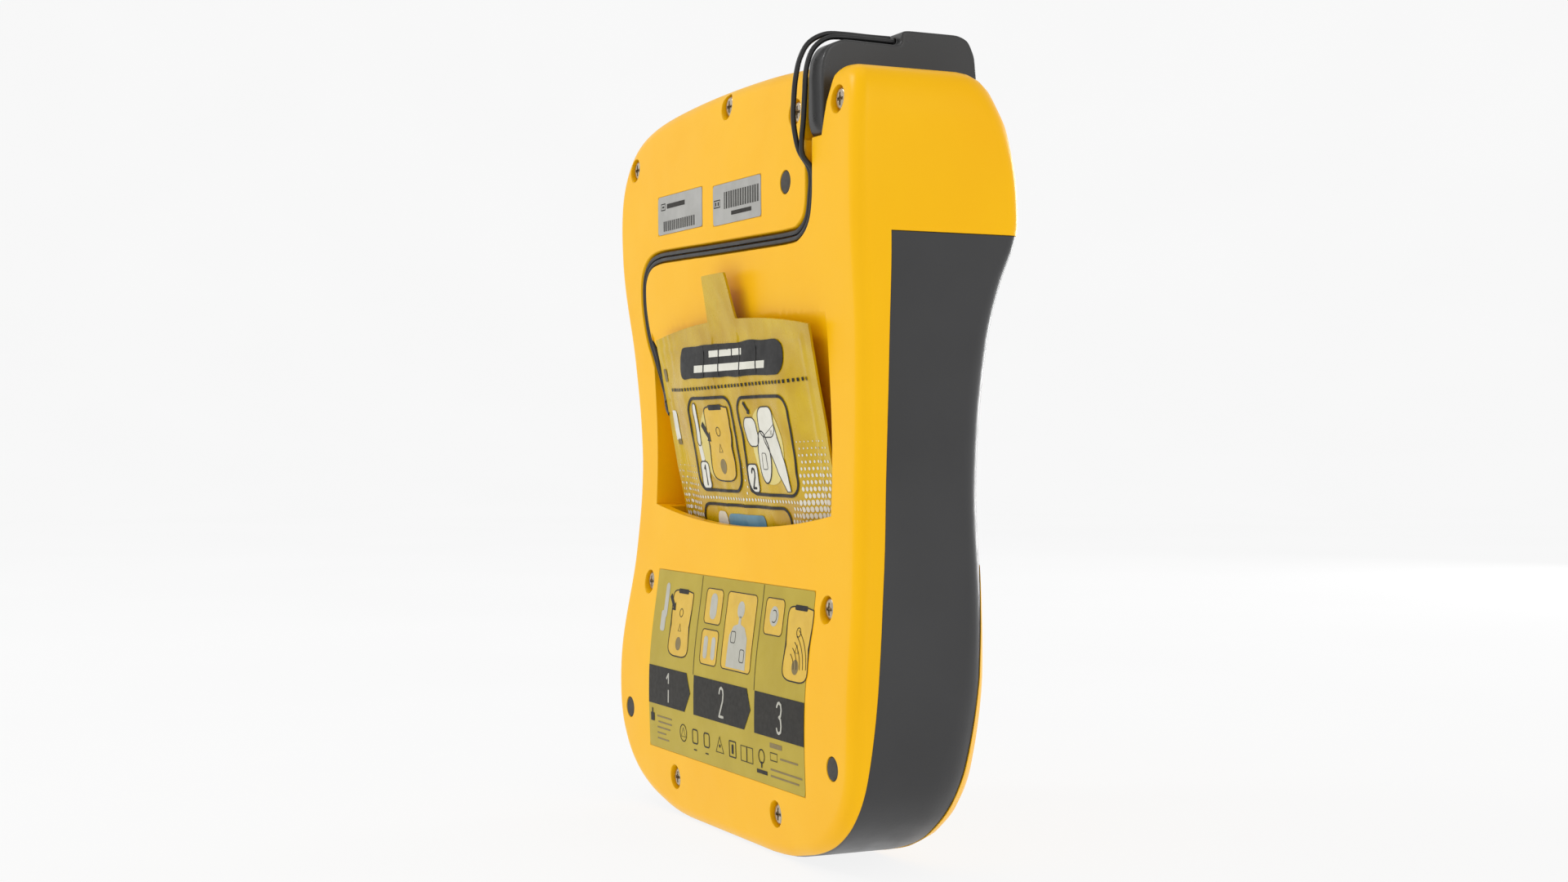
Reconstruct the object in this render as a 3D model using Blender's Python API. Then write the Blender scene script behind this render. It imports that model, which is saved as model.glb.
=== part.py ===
"""Hand-held automated external defibrillator, standing upright on the flat under its rounded foot.

X runs across the case, -Y is the front with the controls, +Y is the back with the pads pocket, Z is up.
Every size below is in millimetres, and make_object turns them into metres.
"""

import math

import bmesh
import bpy
import numpy as np

MM = 0.001
GAP = 0.3

# Case: overall half sizes, the outline seen from the back, and the depth at each height.
HALF_WIDTH = 92.5
MID_HEIGHT = 120.4
CASE_SIDE = [(33, 0), (57, 3), (72, 7.6), (81.5, 13.6), (87.4, 20.4), (90.8, 28), (92, 38), (91.6, 52),
             (90, 67), (87.2, 88), (85.4, 112), (86.4, 134), (89, 158), (91.6, 180), (92.5, 198)]
SOFT_SHOULDER = [(92.2, 210), (90, 219.6), (84.4, 228.2), (75.6, 234), (59.5, 237.8), (32, 240), (0, 240.8)]
PLUG_SHOULDER = [(92.4, 212), (92, 224), (90, 231.8), (86, 235.2), (79, 236.2), (69, 237), (56, 238.8),
                 (32, 240.4)]
REAR_PROFILE = [(0, 28.3), (21, 29.5), (51, 29.8), (86, 25.8), (121, 24.1), (156, 25.6), (191, 29),
                (221, 29), (243, 26.9)]
FRONT_PROFILE = [(0, -23), (21, -20.6), (46, -19.2), (77, -18.4), (115, -17.8), (144, -18.8), (163, -20.4),
                 (175, -22.6), (187, -26), (200, -26), (241, -26)]
FRONT_RADIUS = [(0, 20), (25, 18), (50, 14), (77, 9), (115, 8), (150, 8), (175, 6), (190, 4), (205, 5),
                (221, 11), (234, 18), (241, 18)]
CORNER_RADIUS = 4
FRONT_CROWN = 2.0
REAR_FILLET = 4.4
WALL = 3.0
REAR_WALL = 4.6

# Parting line between the front cover and the back shell.
COVER_INSET = 9.4
COVER_BACK = -12.3
COVER_THICKNESS = 3.8
SEAL_INSET = 10.2
SEAL_WIDTH = 2.2
SEAL_SKIN = 4.1
SEAL_THICKNESS = 1.1

# Side grip: its band seen from the side, as (depth, height), and how far it wraps onto the front.
GRIP_REAR = [(17.2, 187.5), (16.2, 160), (15.4, 137), (15.4, 113), (16.8, 90), (21.1, 55), (25, 25),
             (26.5, -6)]
GRIP_FRONT = [(-2.5, -6), (-4, 12), (-9, 30), (-14, 58), (-17, 90), (-40, 104), (-40, 187.5)]
GRIP_WRAP = 7
GRIP_THICKNESS = 1.5

# Pads pocket: floor seen from the side, as (depth, height), and its lip.
POCKET_HALF_WIDTH = 68
POCKET_LOWER_HALF_WIDTH = 63
POCKET_FLOOR = [(27.4, 168.5), (24.2, 158), (10.6, 106), (4.6, 65.5)]
POCKET_LIP = 99.8
POCKET_LIP_RISE = 5.4
POCKET_WALL = 2.0
NOTCH_WALL = 1.4
LIP_WALL = 3.2

# Notch for the pads plug, seen from the back, as (across, height).
NOTCH = [(-59, 250), (-59, 216.6), (-71.2, 216.6), (-73.4, 226), (-77, 233.4), (-81.4, 237.4), (-81.4, 250)]
NOTCH_FLOOR = 226.6
NOTCH_STEP = 23.8

# Pads plug, seen from the side, as (depth, height).
PLUG_FAR = -61.4
PLUG_NEAR = -70.6
PLUG_OUTLINE = [(-24.6, 227.2), (-23, 243.5), (-20.8, 248.2), (-17.2, 249.6), (0, 249.6), (1.8, 249.2),
                (2.2, 248), (2.3, 245), (21.8, 245.4), (26, 243.6), (28.2, 240), (28.8, 235.5),
                (28.8, 221.5), (28, 218.2), (26.6, 217), (25.2, 218), (24.2, 221.4), (24.2, 227.2)]
PIN_ACROSS = -65.1
PIN_DEPTHS = (-7.5, -1.5)
SOCKET_FRONT = -10.5
SOCKET_REAR = 1.5
PIN_RADIUS = 1.0
PIN_TIP = 217.2
PIN_TOP = 226.9

# Lead: two strands from the plug, in loops, then side by side in the groove to the pouch.
LEAD_RADIUS = 0.8
LEAD_PAIR = 0.86
LEAD_SINK = 1.0
GROOVE_HALF_WIDTH = 2.1
GROOVE_DEPTH = 2.5
GROOVE_ROUTE = [(-62.5, 219), (-62.9, 207), (-62.5, 199), (-60.4, 193.4), (-55.4, 190), (-48, 189),
                (-20, 189.3), (10, 189.8), (40, 190.4), (56, 190.4), (64.4, 188.6), (69.8, 184),
                (72, 177), (72.2, 170),
                (70.8, 163), (67, 156), (64.4, 150)]
OUTER_LOOP = [(-63.9, 2.8, 248), (-63.8, 10, 248), (-63.4, 18, 248.2), (-62.6, 23.8, 247.9),
              (-61.6, 28.6, 245.2), (-60.9, 31.2, 240.4), (-60.4, 32.4, 234.4), (-60.2, 32.9, 228),
              (-60.2, 33, 222.2), (-60.3, 32.4, 217.6)]
INNER_LOOP = [(-66.3, 2.8, 246.6), (-66, 10, 246.8), (-65.5, 18, 246.9), (-64.6, 23.8, 246.5),
              (-63.5, 28, 243.2), (-62.9, 30, 237.4), (-62.6, 30.5, 229), (-62.4, 30.8, 222),
              (-62.4, 31.3, 216.6)]
OUTER_ENTRY = [(-60.2, 31, 213)]
INNER_ENTRY = [(-62.4, 31, 211.6)]
LOWER_TAIL = [(66, 23.8, 150.6), (63.2, 23.1, 144), (59.2, 24, 138.8), (55.4, 24.6, 136.6)]
UPPER_TAIL = [(64.8, 24.5, 152.8), (61.4, 24, 147.4), (58.2, 24.8, 143), (55.4, 25.6, 141)]
LEAD_STEP = 4
LEAD_SPLIT = 216

# Pads pouch: a flat bag that leans out of the pocket, and a little to the left.
POUCH_ACROSS = -1.2
POUCH_LEAN = 0.058
POUCH_HALF_WIDTH = 59.3
POUCH_FOOT = (10.4, 70.5)
POUCH_TOP = (31, 166)
POUCH_THICKNESS = 5.0
POUCH_SEAM = 1.0
TAB_HALF_WIDTH = 9.4
TAB_LENGTH = 15

# Battery: cap and pack, which lift out of the top.
BATTERY_HALF_WIDTH = 38
BATTERY_FRONT = -11.5
BATTERY_REAR = 19
BATTERY_FOOT = 168
CAP_FOOT = 229
LATCH_HALF_WIDTH = 7
LATCH_FRONT = -2
LATCH_REAR = 8
LATCH_FOOT = 232.3
LATCH_TOP = 241.6
BAY_WALL = 1.8
BAY_TOP = 234

# Fasteners, feet and labels on the back, as (across, height).
SCREWS = {
    "screw_top_right": (77.4, 223.2), "screw_top_middle": (0, 235), "screw_beside_plug": (-52.1, 226),
    "screw_top_left": (-80.3, 226), "screw_waist_right": (69.4, 78), "screw_waist_left": (-69.4, 78),
    "screw_foot_right": (39.7, 13.4), "screw_foot_left": (-39.7, 13.4),
}
SCREW_HEAD_RADIUS = 3.3
SCREW_SHANK_RADIUS = 1.5
SCREW_SINK = 0.9
SCREW_HEAD = 1.4
RECESS_REACH = 2.0
RECESS_HALF_WIDTH = 0.35
RECESS_DEPTH = 0.9
SCREW_LENGTH = 12
SHORT_SCREW_LENGTH = 4.2
COUNTERBORE_RADIUS = 4.0
BOSS_RADIUS = 3.2
RIB_LENGTH = 16
FEET = {"foot_upper": (-47, 205.5), "foot_lower_right": (79.5, 32.8), "foot_lower_left": (-79.5, 32.8)}
FOOT_RADIUS = 3.5
LABELS = {
    "instruction_label": (-61.3, 61.3, 21.8, 82.7), "data_label_right": (16.4, 54.6, 198, 211),
    "data_label_left": (-29.5, 7.4, 197, 210),
}
LABEL_THICKNESS = 0.35
LABEL_SINK = 0.2

# Pieces whose walls follow the curved case.
THIN_WALLED = ("back_shell", "side_grip", "front_cover", "shell_hollow", "grip_recess", "case_seal",
                "seal_path", "battery_cap")

# Front controls.
DISPLAY_HALF_WIDTH = 27
DISPLAY_LOW = 191
DISPLAY_HIGH = 218
BEZEL_MARGIN = 4.5
BEZEL_FACE = -28.5
BEZEL_BACK = -25.7
ON_OFF_HEIGHT = 158
ON_OFF_RADIUS = 9
SHOCK_HEIGHT = 103
SHOCK_RADIUS = 15
SOFTKEYS = {"softkey_up": 214, "softkey_enter": 204.5, "softkey_down": 195}
SOFTKEY_ACROSS = 46
SOFTKEY_RADIUS = 3.4
BUTTON_PROUD = 1.0
FLANGE_LIP = 1.4
FLANGE_GAP = 1.7
FLANGE_THICKNESS = 0.8
SPEAKER_HEIGHT = 52
SPEAKER_RADIUS = 17
STATUS_LIGHT = (-58, 206)
MICROPHONE = (-58, 194)
LENS_RADIUS = 2.6
BOARD_FRONT = -11
BOARD_REAR = -9.4


def smooth_value(table, height):
    """A smooth curve through (height, value) pairs, level beyond its ends."""
    heights, values = np.array(table, float).T
    slopes = np.gradient(values, heights)
    place = np.clip(np.asarray(height, float), heights[0], heights[-1])
    i = np.clip(np.searchsorted(heights, place) - 1, 0, len(heights) - 2)
    span = heights[i + 1] - heights[i]
    t = (place - heights[i]) / span
    start = (1 + 2 * t) * (1 - t) ** 2 * values[i] + t * (1 - t) ** 2 * span * slopes[i]
    end = t * t * (3 - 2 * t) * values[i + 1] + t * t * (t - 1) * span * slopes[i + 1]
    return start + end


def smooth_route(points, steps, closed=False):
    """Points on a Catmull-Rom curve through the given ones, with that many steps in each stretch."""
    given = np.array(points, float)
    if closed:
        padded = np.vstack([given[-1:], given, given[:2]])
    else:
        padded = np.vstack([2 * given[0] - given[1], given, 2 * given[-1] - given[-2]])
    found = []
    for a, b, c, d in zip(padded, padded[1:], padded[2:], padded[3:]):
        for t in np.arange(steps) / steps:
            found.append(0.5 * (2 * b + (c - a) * t + (2 * a - 5 * b + 4 * c - d) * t**2
                                + (3 * b - a - 3 * c + d) * t**3))
    if not closed:
        found.append(given[-1])
    return np.array(found)


def even_route(points, spacing):
    """The same curve with its points the given distance apart."""
    fine = smooth_route(points, 12)
    along = np.concatenate([[0], np.cumsum(np.linalg.norm(np.diff(fine, axis=0), axis=1))])
    places = np.linspace(0, along[-1], max(2, round(along[-1] / spacing) + 1))
    return np.column_stack([np.interp(places, along, fine[:, axis]) for axis in range(3)])


def rear_depth(height):
    return smooth_value(REAR_PROFILE, height)


def front_depth(height):
    return smooth_value(FRONT_PROFILE, height)


def front_face(across, height):
    """Depth of the crowned front face."""
    reach = np.hypot(np.asarray(across) / HALF_WIDTH, (np.asarray(height) - MID_HEIGHT) / MID_HEIGHT)
    return front_depth(height) - FRONT_CROWN * np.clip(1 - reach**2, 0, 1)


def front_rounding(across, height):
    """Radius of the front edge: larger round the two lower corners than along the sides and the foot."""
    beyond = np.clip((np.abs(across) - 40) / 30, 0, 1)
    below = np.clip((58 - height) / 34, 0, 1)
    corner = beyond**2 * (3 - 2 * beyond) * below**2 * (3 - 2 * below)
    return smooth_value(FRONT_RADIUS, height) + CORNER_RADIUS * corner


def case_outline(steps):
    """The case's outline as (across, height), up the right-hand side and down the left."""
    left = CASE_SIDE + PLUG_SHOULDER
    route = CASE_SIDE + SOFT_SHOULDER + [(-x, z) for x, z in reversed(left)]
    points = smooth_route(route, steps, closed=True)
    points[:, 1] = np.maximum(points[:, 1], 0)
    return points


def inset(points, distance):
    """The outline drawn in by that distance on all sides."""
    middle = np.array([0, MID_HEIGHT])
    return middle + (points - middle) * (1 - distance / np.array([HALF_WIDTH, MID_HEIGHT]))


def case_rings(steps, skin, rear_skin):
    """Closed rings of (across, depth, height), from the middle of the back to the middle of the front."""
    outline = case_outline(steps)
    rear_radius = max(REAR_FILLET - rear_skin, 1.2)
    front_radius = np.maximum(front_rounding(*outline.T) - skin, 1.5)
    base = inset(outline, skin)
    rings = []

    def add(points, depth):
        rings.append(np.column_stack([points[:, 0], depth, points[:, 1]]))

    rear_edge = inset(base, rear_radius)
    for scale in (0.2, 0.65):
        points = rear_edge * scale + np.array([0, MID_HEIGHT]) * (1 - scale)
        add(points, rear_depth(points[:, 1]) - rear_skin)
    for turn in np.radians((0, 30, 60, 90)):
        points = inset(base, rear_radius * (1 - math.sin(turn)))
        add(points, rear_depth(points[:, 1]) - rear_skin - rear_radius * (1 - math.cos(turn)))
    front_start = front_face(*base.T) + skin + front_radius
    add(base, (rings[-1][:, 1] + front_start) / 2)
    for turn in np.radians((90, 68, 45, 22, 0)):
        distance = (front_radius * (1 - math.sin(turn)))[:, None]
        points = inset(base, distance)
        add(points, front_face(*points.T) + skin + front_radius * (1 - math.cos(turn)))
    front_edge = points
    for scale in (0.65, 0.2):
        points = front_edge * scale + np.array([0, MID_HEIGHT]) * (1 - scale)
        add(points, front_face(*points.T) + skin)
    return rings


def clear_scene():
    for item in list(bpy.data.objects):
        bpy.data.objects.remove(item)


def material(name, colour, roughness, metallic=0.0):
    found = bpy.data.materials.new(name)
    found.use_nodes = True
    shader = found.node_tree.nodes["Principled BSDF"]
    shader.inputs["Base Color"].default_value = (*colour, 1)
    shader.inputs["Roughness"].default_value = roughness
    shader.inputs["Metallic"].default_value = metallic
    return found


def make_object(name, points, faces, finish=None, origin=(0, 0, 0)):
    """An object from points in millimetres, with its own origin, shaded smooth but for its edges."""
    mesh = bpy.data.meshes.new(name)
    start = np.array(origin, float)
    mesh.from_pydata(((np.array(points, float) - start) * MM).tolist(), [], faces)
    shape = bmesh.new()
    shape.from_mesh(mesh)
    bmesh.ops.recalc_face_normals(shape, faces=shape.faces)
    shape.to_mesh(mesh)
    shape.free()
    mesh.shade_smooth()
    mesh.set_sharp_from_angle(angle=math.radians(35))
    item = bpy.data.objects.new(name, mesh)
    item.location = start * MM
    bpy.context.scene.collection.objects.link(item)
    if finish:
        mesh.materials.append(finish)
    else:
        item.hide_render = True
        item.display_type = "WIRE"
    return item


def ring_shape(rings, domed=True):
    """Points and faces of a closed shape through rings of equal length, closed at both ends."""
    count = len(rings[0])
    points = [tuple(p) for ring in rings for p in ring]
    faces = []
    for r in range(len(rings) - 1):
        for i in range(count):
            j = (i + 1) % count
            faces.append((r * count + i, r * count + j, (r + 1) * count + j, (r + 1) * count + i))
    first = list(range(count))
    last = [(len(rings) - 1) * count + i for i in range(count)]
    if not domed:
        return points, faces + [first, last]
    for ring in (first, last):
        points.append(tuple(np.mean([points[i] for i in ring], axis=0)))
        faces += [(ring[i], ring[(i + 1) % count], len(points) - 1) for i in range(count)]
    return points, faces


def case_body(name, skin, steps=1, rear_skin=None, finish=None):
    """The whole case as one solid, drawn in by the skin."""
    rings = case_rings(steps, skin, skin if rear_skin is None else rear_skin)
    return make_object(name, *ring_shape(rings), finish)


def prism(name, outline, low, high, axis, finish=None, origin=(0, 0, 0)):
    """A flat outline drawn out along an axis: the outline holds the other two coordinates in order."""
    flat = np.array(outline, float)
    rings = [np.insert(flat, "XYZ".index(axis), place, axis=1) for place in (low, high)]
    return make_object(name, *ring_shape(rings, domed=False), finish, origin)


def box(name, low, high, finish=None, origin=(0, 0, 0)):
    outline = [(low[0], low[1]), (high[0], low[1]), (high[0], high[1]), (low[0], high[1])]
    return prism(name, outline, low[2], high[2], "Z", finish, origin)


def circle(across, up, radius, sides=24, phase=0.0):
    turns = phase + np.arange(sides) * 2 * math.pi / sides
    return np.column_stack([across + radius * np.cos(turns), up + radius * np.sin(turns)])


def stepped_round(name, place, steps, axis="Y", sides=24, finish=None, origin=(0, 0, 0)):
    """A turned shape along an axis through the place: steps are (position along the axis, radius)."""
    along_axis = "XYZ".index(axis)
    rings = [np.insert(circle(*place, radius, sides), along_axis, along, axis=1) for along, radius in steps]
    return make_object(name, *ring_shape(rings, domed=False), finish, origin)


def joined(name, items):
    """One cutter from several that don't touch."""
    mesh = bpy.data.meshes.new(name)
    shape = bmesh.new()
    for item in items:
        shape.from_mesh(item.data)
        bpy.data.objects.remove(item)
    shape.to_mesh(mesh)
    shape.free()
    cutter = bpy.data.objects.new(name, mesh)
    cutter.hide_render = True
    cutter.display_type = "WIRE"
    bpy.context.scene.collection.objects.link(cutter)
    return cutter


def boolean(item, other, operation="DIFFERENCE"):
    """A Boolean with the exact solver, or for the case's thin, curved walls with the manifold one."""
    step = item.modifiers.new(f"{operation} {other.name}", "BOOLEAN")
    step.object = other
    step.operation = operation
    step.solver = "MANIFOLD" if item.name in THIN_WALLED else "EXACT"


def cut(item, *cutters):
    for cutter in cutters:
        boolean(item, cutter)


def bevel(item, width, segments=2, angle=40):
    step = item.modifiers.new("soft edges", "BEVEL")
    step.width = width * MM
    step.segments = segments
    step.limit_method = "ANGLE"
    step.angle_limit = math.radians(angle)


def tube(name, points, radius, finish):
    curve = bpy.data.curves.new(name, "CURVE")
    curve.dimensions = "3D"
    curve.bevel_depth = radius * MM
    curve.bevel_resolution = 2
    curve.use_fill_caps = True
    line = curve.splines.new("POLY")
    line.points.add(len(points) - 1)
    for point, place in zip(line.points, points):
        point.co = (*(np.array(place) * MM), 1)
    curve.materials.append(finish)
    item = bpy.data.objects.new(name, curve)
    bpy.context.scene.collection.objects.link(item)
    return item


def patch(name, span, low, high, margin=0.0, finish=None):
    """A slab that follows the curved back between two offsets from it."""
    left, right, foot, top = span
    rings = []
    for height in np.linspace(foot - margin, top + margin, 5):
        near, far = rear_depth(height) + low, rear_depth(height) + high
        rings.append([(left - margin, near, height), (right + margin, near, height),
                      (right + margin, far, height), (left - margin, far, height)])
    return make_object(name, *ring_shape(rings, domed=False), finish)


def pocket_mouth(name, half_width, wall):
    """The pocket above its lip, which rises towards both sides."""
    rings = []
    floor = POCKET_FLOOR[:3]
    (foot_depth, foot), (deep_depth, deep) = POCKET_FLOOR[2:]
    for across in np.linspace(-half_width, half_width, 7):
        lip = POCKET_LIP + POCKET_LIP_RISE * (across / half_width) ** 2 - wall
        depth = foot_depth - (foot - lip) * (foot_depth - deep_depth) / (foot - deep)
        side = [(y - wall, z) for y, z in floor] + [(depth - wall, lip), (60, lip), (60, floor[0][1])]
        rings.append([(across, y, z) for y, z in side])
    return make_object(name, *ring_shape(rings, domed=False))


def pocket_slot(name, half_width, wall, rear):
    """The pocket behind its lip, where the pouch's foot stands."""
    upper, lower = POCKET_FLOOR[2:]
    side = [(upper[0] - wall, upper[1]), (lower[0] - wall, lower[1] - wall)]
    for height in (lower[1] - wall, 78, 92, upper[1]):
        side.append((float(rear_depth(height)) - rear, height))
    return prism(name, side, -half_width, half_width, "X")


def notch_cutters(name, wall):
    """The notch for the plug's top bar, and the deeper channel for its leg."""
    grown = [(x + wall if x > PLUG_FAR else x - wall, z if z > 240 else z - wall) for x, z in NOTCH]
    top = [(x, max(z, NOTCH_FLOOR - wall)) for x, z in grown if z > 220 or x > PLUG_FAR]
    return (prism(name + "_bar", top, -60, 60, "Y"),
            prism(name + "_leg", grown, NOTCH_STEP - wall, 60, "Y"))


def groove_cutter():
    """The groove that holds the lead, along its route on the back."""
    route = smooth_route(GROOVE_ROUTE, 2)
    ahead = np.gradient(route, axis=0)
    sideways = np.column_stack([-ahead[:, 1], ahead[:, 0]]) / np.linalg.norm(ahead, axis=1)[:, None]
    rings = []
    for place, side in zip(route, sideways * GROOVE_HALF_WIDTH):
        floor = float(rear_depth(place[1])) - GROOVE_DEPTH
        left, right = place - side, place + side
        rings.append([(left[0], floor, left[1]), (right[0], floor, right[1]),
                      (right[0], floor + 8, right[1]), (left[0], floor + 8, left[1])])
    return make_object("groove", *ring_shape(rings, domed=False))


def grip_region(name, margin):
    """The band that the side grip fills, but not the middle of the front."""
    rear = [(y + margin, z + (margin if z > 180 else 0)) for y, z in GRIP_REAR]
    front = [(y - margin, z + (margin if z > 180 else 0)) for y, z in GRIP_FRONT]
    region = prism(name, rear + front, -100, 100, "X")
    core = prism(name + "_core", inset(case_outline(1), GRIP_WRAP + margin), -60, -13.9 - margin, "Y")
    cut(region, core)
    return region


def rounded_triangle(centre, radius, corner):
    """An upright triangle with round corners, as (across, height)."""
    outline = []
    for turn in (90, 210, 330):
        heading = math.radians(turn)
        middle = (radius - corner) * np.array([math.cos(heading), math.sin(heading)]) + np.array([0, centre])
        for swing in np.radians(np.linspace(turn - 60, turn + 60, 6)):
            outline.append(middle + corner * np.array([math.cos(swing), math.sin(swing)]))
    return outline


def stepped_frame(name, steps, finish=None):
    """A block about the display's middle: steps are (depth, margin beyond the display on each side)."""
    rings = []
    for depth, margin in steps:
        left, right = -DISPLAY_HALF_WIDTH - margin, DISPLAY_HALF_WIDTH + margin
        low, high = DISPLAY_LOW - margin, DISPLAY_HIGH + margin
        rings.append([(left, depth, low), (right, depth, low), (right, depth, high), (left, depth, high)])
    return make_object(name, *ring_shape(rings, domed=False), finish)


def button(name, outline, wide_outline, finish, face):
    """A key: a cap through the front cover, on a wider flange behind it."""
    across, height = np.mean(outline, axis=0)
    under = face + COVER_THICKNESS + FLANGE_GAP
    cap = prism(name, outline, face - BUTTON_PROUD, under + FLANGE_THICKNESS / 2, "Y", finish,
                (across, face, height))
    flange = prism(name + "_flange", wide_outline, under, under + FLANGE_THICKNESS, "Y")
    boolean(cap, flange, "UNION")
    return cap


def screw(name, across, height, length, finish):
    """A pan-head screw with a cross recess, sunk below the back."""
    face = float(rear_depth(height)) - SCREW_SINK
    under = face - SCREW_HEAD
    item = stepped_round(name, (across, height), [
        (under - length, 0.8), (under - length + 1, SCREW_SHANK_RADIUS), (under, SCREW_SHANK_RADIUS),
        (under + 0.001, SCREW_HEAD_RADIUS), (face - 0.5, SCREW_HEAD_RADIUS), (face, SCREW_HEAD_RADIUS - 0.7),
    ], sides=12, finish=finish)
    for wide, high in ((RECESS_REACH, RECESS_HALF_WIDTH), (RECESS_HALF_WIDTH, RECESS_REACH)):
        cut(item, box(name + "_recess", (across - wide, face - RECESS_DEPTH, height - high),
                      (across + wide, face + 1, height + high)))
    return item


def build_back_shell(yellow):
    """The tub: rear wall, sides and shoulders, with the pocket, notch, groove and battery mouth."""
    void = case_body("shell_hollow", WALL, rear_skin=REAR_WALL)
    cut(void, pocket_mouth("pocket_mouth_walls", POCKET_HALF_WIDTH + POCKET_WALL, POCKET_WALL),
        pocket_slot("pocket_slot_walls", POCKET_LOWER_HALF_WIDTH + POCKET_WALL, POCKET_WALL, 0),
        *notch_cutters("notch_walls", NOTCH_WALL))
    front = prism("cover_opening", inset(case_outline(1), COVER_INSET), -60, COVER_BACK, "Y")
    grip_recess = grip_region("grip_recess", GAP)
    cut(grip_recess, case_body("grip_bed", GRIP_THICKNESS + GAP))
    mouth = box("battery_mouth", (-BATTERY_HALF_WIDTH - GAP, BATTERY_FRONT - GAP, 225),
                (BATTERY_HALF_WIDTH + GAP, BATTERY_REAR + GAP, 260))
    socket = box("socket_mouth", (PIN_ACROSS - 4.8, SOCKET_FRONT - GAP, 220),
                 (PIN_ACROSS + 4.8, SOCKET_REAR + GAP, 230))
    holes = []
    for name, (across, height) in SCREWS.items():
        face = float(rear_depth(height))
        floor = face - SCREW_SINK - SCREW_HEAD - GAP
        holes.append(stepped_round(name + "_hole", (across, height), [
            (face - 9, SCREW_SHANK_RADIUS + GAP), (floor, SCREW_SHANK_RADIUS + GAP),
            (floor + 0.001, COUNTERBORE_RADIUS), (face + 6, COUNTERBORE_RADIUS)], sides=12))
    for name, (across, height) in FEET.items():
        face = float(rear_depth(height))
        holes.append(stepped_round(name + "_hole", (across, height),
                                   [(face - 2, FOOT_RADIUS + GAP), (face + 6, FOOT_RADIUS + GAP)], sides=12))
    for name, span in LABELS.items():
        holes.append(patch(name + "_bed", span, -0.5, 6, GAP))
    shell = case_body("back_shell", 0, finish=yellow)
    cut(shell, void, front, grip_recess, pocket_mouth("pocket_mouth", POCKET_HALF_WIDTH, 0),
        pocket_slot("pocket_slot", POCKET_LOWER_HALF_WIDTH, 0, LIP_WALL), *notch_cutters("notch", 0),
        groove_cutter(), mouth, socket, joined("back_holes", holes))


def build_side_grip(dark):
    grip = case_body("side_grip", 0, finish=dark)
    cut(grip, case_body("grip_inside", GRIP_THICKNESS))
    boolean(grip, grip_region("grip_band", 0), "INTERSECT")


def build_front_cover(yellow):
    """The front panel, with a boss and a rib for each long screw, and its openings."""
    outline = inset(case_outline(1), COVER_INSET + GAP)
    cover = prism("front_cover", outline, -60, COVER_BACK - GAP, "Y", yellow)
    boolean(cover, case_body("cover_outside", 0), "INTERSECT")
    cut(cover, case_body("cover_inside", COVER_THICKNESS))
    bores = []
    for name, (across, height) in SCREWS.items():
        if name == "screw_top_middle":
            continue
        place = np.array([across, height])
        face = float(front_face(across, height))
        rear = float(rear_depth(height)) - REAR_WALL - 1
        boss = stepped_round(name + "_boss", place, [(face + 12, BOSS_RADIUS), (rear, BOSS_RADIUS)],
                             sides=12)
        boolean(cover, boss, "UNION")
        inward = np.array([0, MID_HEIGHT]) - place
        inward = inward / np.linalg.norm(inward)
        sideways = np.array([-inward[1], inward[0]])
        side = [(0.5, 13), (7, 9), (9, 3.2), (RIB_LENGTH, 3.2), (RIB_LENGTH, 14), (0.5, 17)]
        rings = []
        for shift in (-0.8, 0.8):
            spots = [place + inward * run + sideways * shift for run, _ in side]
            rings.append([(spot[0], face + up, spot[1]) for spot, (_, up) in zip(spots, side)])
        boolean(cover, make_object(name + "_rib", *ring_shape(rings, domed=False)), "UNION")
        bores.append(stepped_round(name + "_bore", place, [(rear - 14, SCREW_SHANK_RADIUS + GAP),
                                                          (rear + 1, SCREW_SHANK_RADIUS + GAP)], sides=12))
    cut(cover, joined("boss_bores", bores), joined("cover_holes", cover_holes()),
        notch_cutters("cover_notch", GAP)[0], seal_band("seal_path", SEAL_SKIN, SEAL_THICKNESS, 0.2))


def cover_holes():
    """Cutters for what shows through the front cover."""
    holes = [stepped_frame("display_hole", [
        (-60, BEZEL_MARGIN + GAP), (BEZEL_BACK + GAP, BEZEL_MARGIN + GAP), (BEZEL_BACK + GAP + 0.001, 1.8),
        (0, 1.8)])]
    holes.append(prism("on_off_hole", circle(0, ON_OFF_HEIGHT, ON_OFF_RADIUS + GAP), -60, 0, "Y"))
    holes.append(prism("shock_hole", rounded_triangle(SHOCK_HEIGHT, SHOCK_RADIUS + 2 * GAP, 4), -60, 0, "Y"))
    for height in SOFTKEYS.values():
        outline = circle(SOFTKEY_ACROSS, height, SOFTKEY_RADIUS + GAP, 16)
        holes.append(prism("softkey_hole", outline, -60, 0, "Y"))
    for place in (STATUS_LIGHT, MICROPHONE):
        holes.append(prism("lens_hole", circle(*place, LENS_RADIUS + GAP, 12), -60, 0, "Y"))
    face = float(front_face(0, SPEAKER_HEIGHT))
    holes.append(stepped_round("speaker_hole", (0, SPEAKER_HEIGHT), [
        (-60, SPEAKER_RADIUS + GAP), (face + 1.4, SPEAKER_RADIUS + GAP),
        (face + 1.401, SPEAKER_RADIUS - 2.5), (0, SPEAKER_RADIUS - 2.5)]))
    return holes


def build_display(black, glass, metal):
    bezel = stepped_frame("display_bezel", [(BEZEL_FACE, BEZEL_MARGIN), (BEZEL_BACK, BEZEL_MARGIN)], black)
    cut(bezel, stepped_frame("bezel_window", [(-60, 0), (0, 0)]))
    bevel(bezel, 0.6)
    stepped_frame("display_window", [(BEZEL_BACK + GAP, 1.5), (BEZEL_BACK + 1.8, 1.5)], glass)
    module = stepped_frame("display_module", [(BEZEL_BACK + 4, 5), (BEZEL_BACK + 9, 5)], metal)
    bevel(module, 0.5, 1)


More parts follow.
